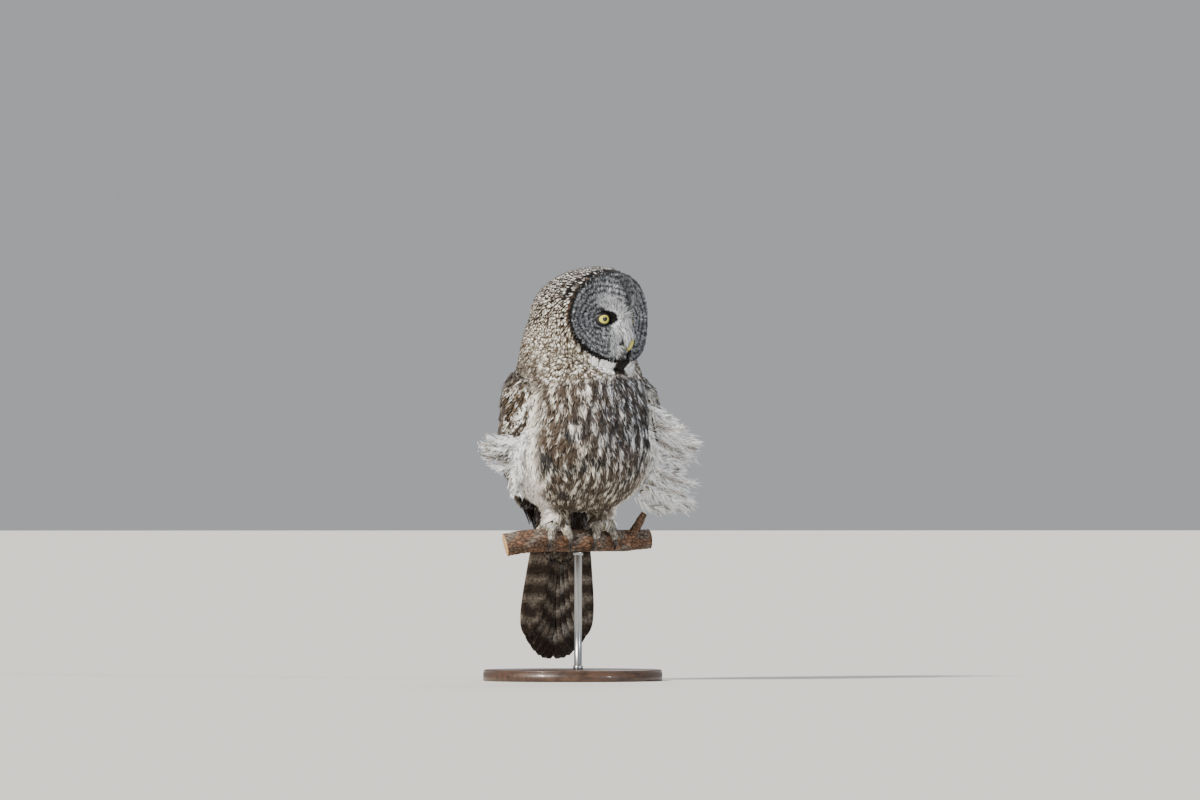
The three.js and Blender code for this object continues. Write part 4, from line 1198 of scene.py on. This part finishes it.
# Blown plumes and bristles
def build_plumes(feathers, random):
    """Loose flank feathers that the wind lifts: each a bent shaft with long soft barbs."""
    barbs = BARBS_PER_SHAFT
    shafts = []
    for side, count, root_a, root_b, tip_a, tip_b in FLANK_LOCKS:
        share = np.repeat(np.linspace(0, 1, count), SHAFTS_PER_PLACE)
        share = share + random.normal(scale=0.5 / count, size=len(share))
        jitter = random.normal(scale=3.5, size=(2, len(share)))
        back = 14 if side < 0 else 4
        turn = mix(root_a[0], root_b[0], share) + jitter[0] - back
        z = mix(root_a[1], root_b[1], share) + jitter[1]
        leaving = on_body(torso_at, side, turn - 6, z - 14, 8)
        tip = mix(np.array(tip_a, float), np.array(tip_b, float), share[:, None])
        tip = mix(leaving, tip, random.uniform(0.45, 1.0, len(share))[:, None])
        tip = tip + random.normal(scale=6, size=tip.shape)
        middle = mix(leaving, tip, 0.35) + random.normal(scale=4, size=tip.shape)
        shafts.append((on_body(torso_at, side, turn, z, -8), middle, tip))
    start, middle, tip = (np.concatenate(k)[:, None] for k in zip(*shafts))
    count = len(start)
    along_shaft = np.linspace(0.22, 0.98, barbs)[None, :, None]
    along_shaft = along_shaft + random.uniform(-0.02, 0.02, (count, barbs, 1))
    root, heading = bend(start, middle, tip, along_shaft)
    facing = unit(np.array([-0.34, -0.94, 0.2]) + random.normal(scale=0.45, size=(count, 1, 3)))
    sideways = unit(np.cross(heading, facing)) * np.where(np.arange(barbs) % 2, 1, -1)[None, :, None]
    spread = mix(0.75, 0.25, along_shaft) + random.normal(scale=0.12, size=along_shaft.shape)
    length = np.linalg.norm(tip - start, axis=-1, keepdims=True)
    length = (0.2 * length + 5) * random.uniform(0.7, 1.25, along_shaft.shape)
    length = length * mix(1.1, 0.7, along_shaft)
    curl = random.normal(scale=0.35, size=(count, barbs, 3))
    end = root + unit(heading + sideways * spread + 0.4 * curl) * length
    halfway = root + unit(heading * 1.2 + sideways * spread * 1.4 - 0.3 * curl) * length * 0.5
    root, halfway, end = (k.reshape(-1, 3) for k in (root, halfway, end))
    end[:, 0] = np.clip(end[:, 0], *PLUME_REACH)
    facing = unit(np.broadcast_to(facing, (count, barbs, 3)).reshape(-1, 3) + curl.reshape(-1, 3))
    points, t = ribbons(root, halfway, end, facing, random.uniform(1.1, 2.5, len(root)))
    t, _, first, second = random_shares(random, points, t, t)
    own = np.repeat(random.random(count), barbs)[:, None, None]
    near_shaft = along_shaft.reshape(-1, 1, 1)
    # painted shade: the plumes' white mixed at random with white as it looks in cool shade
    colour = blend(COOL_SHADED_WHITE, WHITE, 0.35 + 0.65 * second)
    colour = blend(colour, blend(BROWN, TAN, second), (own > 0.74) * (1 - ramp(t, 0.2, 0.7)) * 0.7)
    bars = ramp(np.sin(near_shaft * 20 + 6 * own), 0.2, 0.7) * (own < 0.22)
    colour = blend(colour, UMBER, 0.55 * bars * (1 - ramp(t, 0.5, 0.9)))
    colour = blend(colour, TAN, 0.45 * ramp(near_shaft, 0.8, 0.95) * ramp(t, 0.3, 1) * (first > 0.35))
    chart = body_chart(np.repeat(start[:, 0], barbs, 0))
    feather_pieces("plumes", points, with_mottle(colour, 0.08), chart, feathers, "body_feathers")


def bristle_piece(name, start, middle, end, facing, width, dark_share, feathers, random):
    points, t = ribbons(start, middle, end, facing, width)
    t, _, first, second = random_shares(random, points, t, t)
    pale = blend(srgb(140, 144, 150), srgb(214, 217, 221), second)
    pale = blend(pale * 0.5, pale, ramp(t, 0, 0.45))
    dark = blend(CHARCOAL, srgb(110, 110, 112), second)
    colour = blend(pale, dark, (first < dark_share) * ramp(t, 0.1, 0.6))
    feather_pieces(name, points, with_mottle(colour, 0), face_chart(start), feathers, "head_feathers")


def build_bristles(ground, feathers, random):
    """Hair-like feathers: pale ones from the inner corners of the eyes, and those round the bill."""
    count = BRISTLES["eyes"]
    side = random.choice([-1.0, 1.0], count)
    path = smooth_path(PALE_CRESCENT, 40)[random.integers(0, 40, count)]
    path = path + random.normal(scale=3.2, size=(count, 2))
    inner = np.array([EYE["lateral"] - 11.0, EYE["up"] + 1.0])
    away = unit(path - inner) + np.array([0, -0.25])
    u, v = side * path[:, 0], path[:, 1]
    clear = (socket_share(u, v) > 0.92) & ((v > -14) | (abs(u) > 8))
    side, u, v, away = (k[clear] for k in (side, u, v, away))
    count = len(u)
    start, normals = ground.nearest(on_head(u, v, disc_forward(u, v, disc_share(u, v))))
    along = LEFT * (side * away[:, 0])[:, None] + UP * away[:, 1:]
    along = unit(along - normals * np.sum(along * normals, -1, keepdims=True))
    length = random.uniform(8, 14, (count, 1))
    middle = start + along * length * 0.5 + normals * 4.2
    end = start + along * length + normals * random.uniform(3.0, 5.0, (count, 1))
    width = random.uniform(0.5, 1.0, count)
    bristle_piece("bristles_eyes", start, middle, end, normals, width, 0.2, feathers, random)
    build_bill_bristles(feathers, random)


def bill_at(v):
    """Where the upper bill's middle lies forward at a height, and its half width and half height."""
    rows = np.array(BILL_UPPER)
    return [np.interp(-v, -rows[:, 1], rows[:, k]) for k in (0, 2, 3)]


def on_bill(side, around, v, out):
    """A place round the upper bill, in radians from its ridge, and a distance out from it."""
    forward, half_width, half_height = bill_at(v)
    u = side * (half_width + out) * np.sin(around)
    return on_head(u, v, forward + (half_height + out) * np.cos(around))


def build_bill_bristles(feathers, random):
    """Mostly pale bristles over the bill, its brow and the cheeks, and dark ones on the chin."""
    count = BRISTLES["bill"]
    side = random.choice([-1.0, 1.0], count)
    around = 2.2 * random.random(count) ** 1.4
    v = random.uniform(-27, -3, count) - 8 * ramp(around, 0.5, 1.1)
    lowest = mix(-33, -46, ramp(around, 0.35, 1.0))
    tip_v = np.maximum(v - random.uniform(11, 19, count), lowest + random.uniform(-4, 5, count))
    start = on_bill(side, around, v, 0.0)
    middle = on_bill(side, around * 0.97, (v + tip_v) / 2, random.uniform(2.4, 4.4, count))
    end = on_bill(side, around * 0.93, tip_v, random.uniform(0.8, 3.2, count))
    facing = unit(FORWARD * np.cos(around)[:, None] + LEFT * (side * np.sin(around))[:, None])
    width = random.uniform(0.6, 1.2, count)
    bristle_piece("bristles_bill", start, middle, end, facing, width, 0.22, feathers, random)
    count = BRISTLES["brow"]
    u, v = random.normal(scale=3.8, size=count), 5 - 22 * random.random(count) ** 0.6
    around = np.arcsin(np.clip(u / 9, -1, 1))
    tip_v = v - random.uniform(13, 21, count)
    half_v = (v + tip_v) / 2
    forward, _, half_height = bill_at(half_v)
    over_bill = forward + half_height * np.cos(around) + 3
    high = np.maximum(disc_forward(u, half_v, 0.5) + 1.6, over_bill)
    start = on_face(u, v, 0)
    middle = on_head(u * 1.1, half_v, high + random.uniform(0, 1.5, count))
    end = on_bill(1, around, tip_v, random.uniform(0.8, 2.6, count))
    facing = unit(FORWARD + LEFT * np.sin(around)[:, None])
    width = random.uniform(0.7, 1.3, count)
    bristle_piece("bristles_brow", start, middle, end, facing, width, 0.3, feathers, random)
    count = BRISTLES["cheek"]
    side = random.choice([-1.0, 1.0], count)
    u, v = random.uniform(7, 17, count), random.uniform(-49, -24, count)
    tip_u, tip_v = u + random.uniform(2, 8, count), v - random.uniform(8, 14, count)
    start = on_face(side * u, v, -1)
    middle = on_face(side * (u + tip_u) / 2, (v + tip_v) / 2, 2.6)
    end = on_face(side * tip_u, tip_v, random.uniform(1.2, 3.2, count))
    facing = unit(FORWARD + LEFT * side[:, None] * 0.4)
    width = random.uniform(0.6, 1.2, count)
    bristle_piece("bristles_cheek", start, middle, end, facing, width, 0.34, feathers, random)
    count = BRISTLES["chin"]
    side = random.choice([-1.0, 1.0], count)
    from_middle = random.uniform(3, 13, count)
    v = random.uniform(-56, -43, count)
    start = on_face(side * from_middle, v, -1)
    middle = on_head(side * (from_middle * 0.8 + 1), v - 5, random.uniform(82, 86, count))
    tip_v = v - random.uniform(8, 13, count)
    end = on_head(side * from_middle * 0.7, tip_v, random.uniform(80, 88, count))
    facing = unit(FORWARD + LEFT * side[:, None] * 0.8)
    width = random.uniform(0.7, 1.3, count)
    bristle_piece("bristles_chin", start, middle, end, facing, width, 0.85, feathers, random)


# Eyes, bill and claws
def build_eye(side, name, eye_material, lid_material):
    out = EYE["out"] * side
    gaze = FORWARD * math.cos(out) + LEFT * math.sin(out)
    centre = on_head(side * EYE["lateral"], EYE["up"], EYE["forward"])
    sideways = unit(np.cross(UP, gaze))
    turn = np.linspace(0, 2 * math.pi, 96, endpoint=False)
    round_axis = sideways * np.cos(turn)[:, None] + UP * np.sin(turn)[:, None]
    radius = EYE["radius"]
    pupil = BLACK * 0.4
    fibre = 0.5 + 0.5 * np.sin(turn * 31 + 2 * np.sin(turn * 5)) * np.sin(turn * 17)
    pupil_edge = math.degrees(math.asin(PUPIL_RADIUS / radius))
    degrees = [1, 5, 9, 13, 16, pupil_edge - 0.5, pupil_edge + 0.5]
    degrees += [24, 30, 36, 42, 48, 52, 54, 60, 75, 90, 115, 140, 165, 178]
    rings, colours = [], []
    for angle in np.radians(degrees):
        bulge = 0.7 * ramp(math.cos(angle), math.cos(math.radians(50)), 1)
        rings.append(centre + (gaze * math.cos(angle) + round_axis * math.sin(angle)) * (radius + bulge))
        from_axis = radius * math.sin(angle) if angle < math.pi / 2 else radius
        # painted light and shade: paler near the pupil and darker at the outer edge, so the flat iris
        # looks deep under the cornea; the dark outer ring is also the eye's own limbus
        iris = blend(srgb(220, 211, 72), srgb(236, 230, 112), 0.6 * fibre * bell(from_axis - 5, 3))
        edge = ramp(from_axis, IRIS_RADIUS - 1.6, IRIS_RADIUS)
        iris = blend(iris, srgb(150, 128, 40), np.full(len(turn), float(edge)))
        share = ramp(from_axis, PUPIL_RADIUS - 0.1, PUPIL_RADIUS + 0.1)
        share = share * (1 - ramp(from_axis, IRIS_RADIUS, IRIS_RADIUS + 0.3))
        colours.append(blend(pupil, iris, np.full(len(turn), float(share))))
    colours = np.concatenate([*colours, np.broadcast_to(pupil, (2, 3))])
    painted_piece("eye_ball_" + name, closed_rings(rings), colours, eye_material, "iris", "eye_" + name)
    high = np.where(np.sin(turn) > 0, APERTURE["above"], APERTURE["below"])
    oval = sideways * (APERTURE["wide"] * np.cos(turn))[:, None] + UP * (high * np.sin(turn))[:, None]
    lid_rows = [  # scale of the opening, how far out of the eyeball, and how pale
        (0.98, -0.6, 0), (1.0, 0.35, 0), (1.05, 1.0, 0.1), (1.12, 1.2, 0.45),
        (1.2, 1.0, 0.4), (1.32, 0.4, 0.2), (1.5, -1.2, 0), (1.75, -3.8, 0), (1.9, -6.5, 0),
    ]
    rings = []
    for scale, out, _ in lid_rows:
        spread = np.linalg.norm(oval, axis=-1) * min(scale, 1.15)
        on_ball = np.sqrt(np.maximum(radius**2 - spread**2, 9))
        rings.append(centre + oval * scale + gaze * (on_ball + out)[:, None])
    points, faces = closed_rings(rings)
    lid = (points[:-2], [face for face in faces if max(face) < len(points) - 2])
    shade = blend(BLACK * 0.7, CHARCOAL * 1.2, np.repeat([row[2] for row in lid_rows], len(turn)))
    painted_piece("lids_" + name, lid, shade, lid_material, "head_feathers")


def build_bill(material):
    for name, sections in (("bill_upper", BILL_UPPER), ("bill_lower", BILL_LOWER)):
        fine = smooth_path(sections, 44)
        path = on_head(0 * fine[:, 0], fine[:, 1], fine[:, 0])
        points, faces = closed_rings(tube_rings(path, fine[:, 2], fine[:, 3], LEFT, 40))
        u, v, w = head_places(points)
        nostril, ridge_highlight = 0 * u, 0 * u
        if name == "bill_upper":
            nostril = bell(np.hypot(w - 85, v + 19), 1.6) * (abs(u) > 5)
            points = points - LEFT * (np.sign(u) * 1.2 * nostril)[:, None]
            # painted highlight: the upper bill brighter yellow along its ridge, its sides left darker
            # olive as painted shade
            ridge_highlight = ramp((w - bill_at(v)[0]) / bill_at(v)[2], 0.62, 1.0)
        colour = blend(srgb(124, 120, 72), srgb(100, 100, 86), ramp(v, -34, -16))
        colour = blend(colour, srgb(196, 186, 86), ridge_highlight * (1 - ramp(v, -44, -27)))
        colour = blend(colour, srgb(110, 104, 84), ramp(-v, 47, 56) * 0.7)
        # painted shade: the nostril's hollow painted black
        colour = blend(colour, BLACK, nostril * 1.6)
        painted_piece(name + "_horn", (points, faces), colour, material, "bill", name)


def build_claws(material):
    radius_along = curve_through([0, 0.25, 0.5, 0.75, 1], [3.4, 3.3, 2.6, 1.6, 0.3])
    t = np.linspace(0.06, 1, 22)
    for side, name in SIDES:
        for k, (x, splay, front, reach_deg) in enumerate(TOES):
            place = side * (LEG_X + x + splay * (1 + 0.3 * t))
            radius = PERCH["radius"] + mix(GAP + TOE_TIP, 2.2, t)
            path = round_perch(place, mix(reach_deg - 3, reach_deg + 58, t), front, radius)
            rings = tube_rings(path, radius_along(t) * 0.92, radius_along(t), ACROSS, 16)
            along = np.concatenate([np.repeat(t, 16), [0, 1]])
            colour = blend(srgb(70, 64, 58), BLACK, ramp(along, 0.05, 0.4))
            own = (f"talon_{name}_{k + 1}", closed_rings(rings), colour, material)
            painted_piece(*own, "claw", f"claw_{name}_{k + 1}")


# Perch and stand
def perch_axis(x):
    beyond_feet = np.maximum(0, abs(x) - GRIP[1]) / (PERCH["half_length"] - GRIP[1])
    swing = np.where(x > 0, -0.4, 1)
    sag = PERCH["sag"] * beyond_feet**2 * swing
    return np.stack([x, 5 * beyond_feet**2 * swing, PERCH["z"] - sag], -1)


def bark_plates(around, along, random):
    """Relief and shade of scaly bark at places round and along a stem."""
    count, girth = 900, 110
    spots = np.stack([random.uniform(0, girth, count), random.uniform(-130, 130, count)], -1)
    spots = np.concatenate([spots + [girth * k, 0] for k in (-1, 0, 1)])
    tint = np.tile(random.random(count), 3)
    tree = KDTree(len(spots))
    for i, spot in enumerate(spots):
        tree.insert((spot[0] * 1.5, spot[1], 0), i)
    tree.balance()
    relief, shade = [], []
    for a, b in zip(around.ravel(), along.ravel()):
        (_, near, first), (_, _, second) = tree.find_n((a * 1.5, b, 0), 2)
        relief.append(min(1.0, (second - first) / 2.6))
        shade.append(tint[near])
    return np.array(relief).reshape(around.shape), np.array(shade).reshape(around.shape)


def build_stem(material, random):
    columns, rows = 110, 190
    x = np.linspace(-PERCH["half_length"], PERCH["half_length"], rows)
    path = perch_axis(x)
    radius = PERCH["radius"] + ramp(-x, 55, 75) - 1.5 * ramp(x, 80, 95)
    rings = tube_rings(path, radius, radius, np.array([0, 1.0, 0]), columns)
    around = np.broadcast_to(np.arange(columns, dtype=float), (rows, columns))
    relief, tint = bark_plates(around, np.broadcast_to(x[:, None], (rows, columns)), random)
    gripped = band(abs(x), *GRIP, 6)[:, None]
    out = unit(rings - path[:, None])
    rings = rings + out * ((relief - 0.9) * mix(1.4, 0.5, gripped))[..., None]
    plates = blend(srgb(92, 78, 68), srgb(136, 101, 78), tint)
    plates = blend(plates, srgb(128, 122, 114), ramp(waves(rings, 24, 5), 0.0, 0.6) * 0.7)
    # dark in the cracks between the plates: the bark's own dark fissures, with painted shade in them
    colours = blend(srgb(40, 30, 25), plates, relief**0.7)
    steps = np.linspace(0.985, 0.05, 44)
    wobble = 0.6 * np.sin(np.linspace(0, 2 * math.pi, columns, endpoint=False))
    year = 0.5 + 0.5 * np.sin(steps[:, None] * 66 + wobble)
    wood = blend(srgb(206, 176, 128), srgb(166, 126, 82), year)
    wood[:2] = srgb(120, 84, 58)
    caps = []
    for end, outward in ((0, -0.8), (rows - 1, 0.8)):
        cap = path[end] + (rings[end] - path[end]) * steps[:, None, None]
        cap[..., 0] += 0.25 * waves(cap, 5, 13) + outward * np.minimum(1, (1 - steps) * 12)[:, None]
        caps.append(cap)
    shape = closed_rings(np.concatenate([caps[0][::-1], rings, caps[1]]))
    heart = np.broadcast_to(srgb(150, 108, 66), (2, 3))
    rows_of_colour = [part.reshape(-1, 3) for part in (wood[::-1], colours, wood)]
    colours = np.concatenate([*rows_of_colour, heart])
    painted_piece("stem", shape, colours, material, "bark", "perch")


def build_twig(material, random):
    rows, columns = 64, 56
    radius = np.linspace(8.4, 5, rows)
    path = smooth_path(TWIG, rows)
    rings = tube_rings(path, radius, radius, np.array([0, 1.0, 0]), columns)
    around, along = np.meshgrid(np.arange(columns) * 0.9, np.arange(rows) * 0.9)
    relief, tint = bark_plates(around, along, random)
    bumps = 0.4 * waves(rings, 7, 17) + 0.7 * (relief - 0.9)
    rings = rings + unit(rings - path[:, None]) * bumps[..., None]
    caps = path[-1] + (rings[-1] - path[-1]) * np.array([0.86, 0.6, 0.3])[:, None, None]
    # dark in the cracks between the plates: the bark's own dark fissures, with painted shade in them
    bark = blend(srgb(44, 34, 29), blend(srgb(88, 74, 64), srgb(126, 94, 72), tint), relief**0.7)
    bark = bark.reshape(-1, 3)
    wood = np.broadcast_to(srgb(196, 164, 116), (3 * columns + 1, 3))
    shape = closed_rings(np.concatenate([rings, caps]))
    colours = np.concatenate([bark, wood[:-1], bark[:1], wood[-1:]])
    painted_piece("twig_stub", shape, colours, material, "bark")


def turned(name, profile, columns, centre_y):
    """A shape turned about an upright axis, from radii and heights."""
    turn = np.linspace(0, 2 * math.pi, columns, endpoint=False)
    rings = [
        np.stack([r * np.cos(turn), centre_y + r * np.sin(turn), np.full(columns, float(z))], -1)
        for r, z in profile
    ]
    return add_mesh(name, *closed_rings(rings))


def build_stand(steel, wood):
    radius, thickness = BASE["radius"], BASE["thickness"]
    edge = [(radius - 3, 0), (radius - 0.8, 0.4), (radius, 1.6), (radius, thickness - 5)]
    bead = [(radius - 1.2, thickness - drop) for drop in (4.6, 3.6)]
    bead.append((radius - 0.6, thickness - 3))
    top = [(radius - 1.4, thickness - 1.2), (radius - 3.4, thickness - 0.1), (radius - 8, thickness)]
    base = turned("base", [(20, 0), *edge, *bead, *top, (20, thickness)], 180, BASE["centre_y"])
    finish_piece(base, wood, "base_wood", "stand_base")
    foot, top_z = thickness + GAP, PERCH["z"] - PERCH["radius"] - GAP
    ferrule = [(2, foot), (7.4, foot), (7.8, foot + 0.6), (7.8, foot + 5), (7.2, foot + 5.6)]
    shank = [(ROD_RADIUS, foot + 6), (ROD_RADIUS, foot + 60), (ROD_RADIUS, top_z - 6)]
    collar = [(7.2, top_z - 5.6), (7.8, top_z - 5), (7.8, top_z - 0.6), (7.4, top_z), (2, top_z)]
    rod = turned("rod", [*ferrule, *shank, *collar], 64, 0)
    finish_piece(rod, steel, "rod_steel", "stand_rod")


# Stage, light and camera
def build_stage():
    size = 400000
    corners = [(-size, -size, 0), (size, -size, 0), (size, size, 0), (-size, size, 0)]
    floor = add_mesh("floor", corners, [(0, 1, 2, 3)])
    paper = (srgb(214, 211, 205), srgb(217, 214, 208))
    floor.data.materials.append(grained_material("floor paper", paper, 400, 0.9, bump=0))
    world = bpy.data.worlds.new("studio")
    world.use_nodes = True
    world.node_tree.nodes["Background"].inputs[0].default_value = (*srgb(176, 178, 182), 1)
    world.node_tree.nodes["Background"].inputs[1].default_value = 0.9
    bpy.context.scene.world = world


def aim(thing, target):
    thing.rotation_euler = (Vector(target) - thing.location).to_track_quat("-Z", "Y").to_euler()


def add_light(name, azimuth_deg, elevation_deg, strength, colour, spread_deg):
    light = bpy.data.lights.new(name, "SUN")
    light.energy = strength
    light.color = colour
    light.angle = math.radians(spread_deg)
    holder = add_object(name, light)
    turn, rise = math.radians(azimuth_deg), math.radians(elevation_deg)
    towards = (math.sin(turn) * math.cos(rise), -math.cos(turn) * math.cos(rise), math.sin(rise))
    holder.location = Vector(towards) * LIGHT_DISTANCE + Vector(LIT_PLACE)
    aim(holder, LIT_PLACE)


def build_lights():
    add_light("key", -66, 38, 6.0, (1.0, 0.955, 0.88), 8)
    add_light("fill", 30, 22, 0.9, (0.9, 0.94, 1.0), 5)
    add_light("rim", 150, 42, 0.9, (0.92, 0.95, 1.0), 25)


def build_camera():
    camera = bpy.data.cameras.new("view")
    camera.lens = FILM_WIDTH * CAMERA_DISTANCE / (FRAME_SIZE[0] * PIXEL * MM)
    camera.sensor_width = FILM_WIDTH
    camera.clip_end = 2000
    holder = add_object("view", camera)
    sideways = (FRAME_SIZE[0] / 2 - ZERO_PIXEL[0]) * PIXEL * MM
    height = (ZERO_PIXEL[1] - HORIZON_PIXEL) * PIXEL * MM
    aim_height = (ZERO_PIXEL[1] - FRAME_SIZE[1] / 2) * PIXEL * MM
    right = Vector((math.cos(VIEW_AZIMUTH), math.sin(VIEW_AZIMUTH), 0))
    towards = Vector((math.sin(VIEW_AZIMUTH), -math.cos(VIEW_AZIMUTH), 0))
    holder.location = towards * CAMERA_DISTANCE + right * sideways + Vector((0, 0, height))
    aim(holder, right * sideways + Vector((0, 0, aim_height)))
    bpy.context.scene.camera = holder


def build_bird(frame, random):
    skin = build_skin(frame)
    ground = Ground(skin)
    parts = regions(ground)
    paint(skin.data, contrasted(skin_colours(ground, parts)))
    under = painted_material("skin under the coat", 0.9, specular=0.1, grain=500)
    flesh = ["head", "neck", "torso", "tail"]
    flesh += [part + side for part in ("wing_", "leg_", "foot_") for side in ("left", "right")]
    finish_piece(skin, under, "body_feathers", *flesh)
    feathers = plumage_material("plumage")
    coat_body(ground, parts, feathers, random)
    coat_head(ground, parts, feathers, random)
    coat_face(ground, parts, feathers, random)
    coat_rest(ground, parts, feathers, random)
    wet = painted_material("eye", 0.06, specular=0.3, coat=0.8, uneven=0.03, bump=0)
    lid = painted_material("bare lid skin", 0.5, grain=900)
    for side, name in SIDES:
        build_wing(side, name, feathers, random)
        build_eye(side, name, wet, lid)
    build_tail(feathers, random)
    build_plumes(feathers, random)
    build_bristles(ground, feathers, random)
    build_bill(painted_material("bill horn", 0.36, grain=260, uneven=0.12, bump=0.1, coat=0.2))
    build_claws(painted_material("claw horn", 0.3, grain=500, uneven=0.3, bump=0.15, coat=0.2))


def main():
    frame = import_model()
    random = np.random.default_rng(SEED)
    build_camera()
    build_bird(frame, random)
    bark = painted_material("pine bark", 0.88, specular=0.2, grain=420, uneven=0.3, bump=0.6)
    build_stem(bark, random)
    build_twig(bark, random)
    steel_tones = (srgb(150, 152, 154), srgb(186, 188, 190))
    steel = grained_material("brushed steel", steel_tones, 60, 0.32, (8, 8, 0.4), bump=0.05, metallic=1)
    wood_tones = (srgb(48, 32, 23), srgb(84, 58, 40))
    wood = grained_material("stained wood", wood_tones, 16, 0.42, (1.2, 14, 8), bump=0.12, coat=0.25)
    build_stand(steel, wood)
    build_stage()
    build_lights()


main()
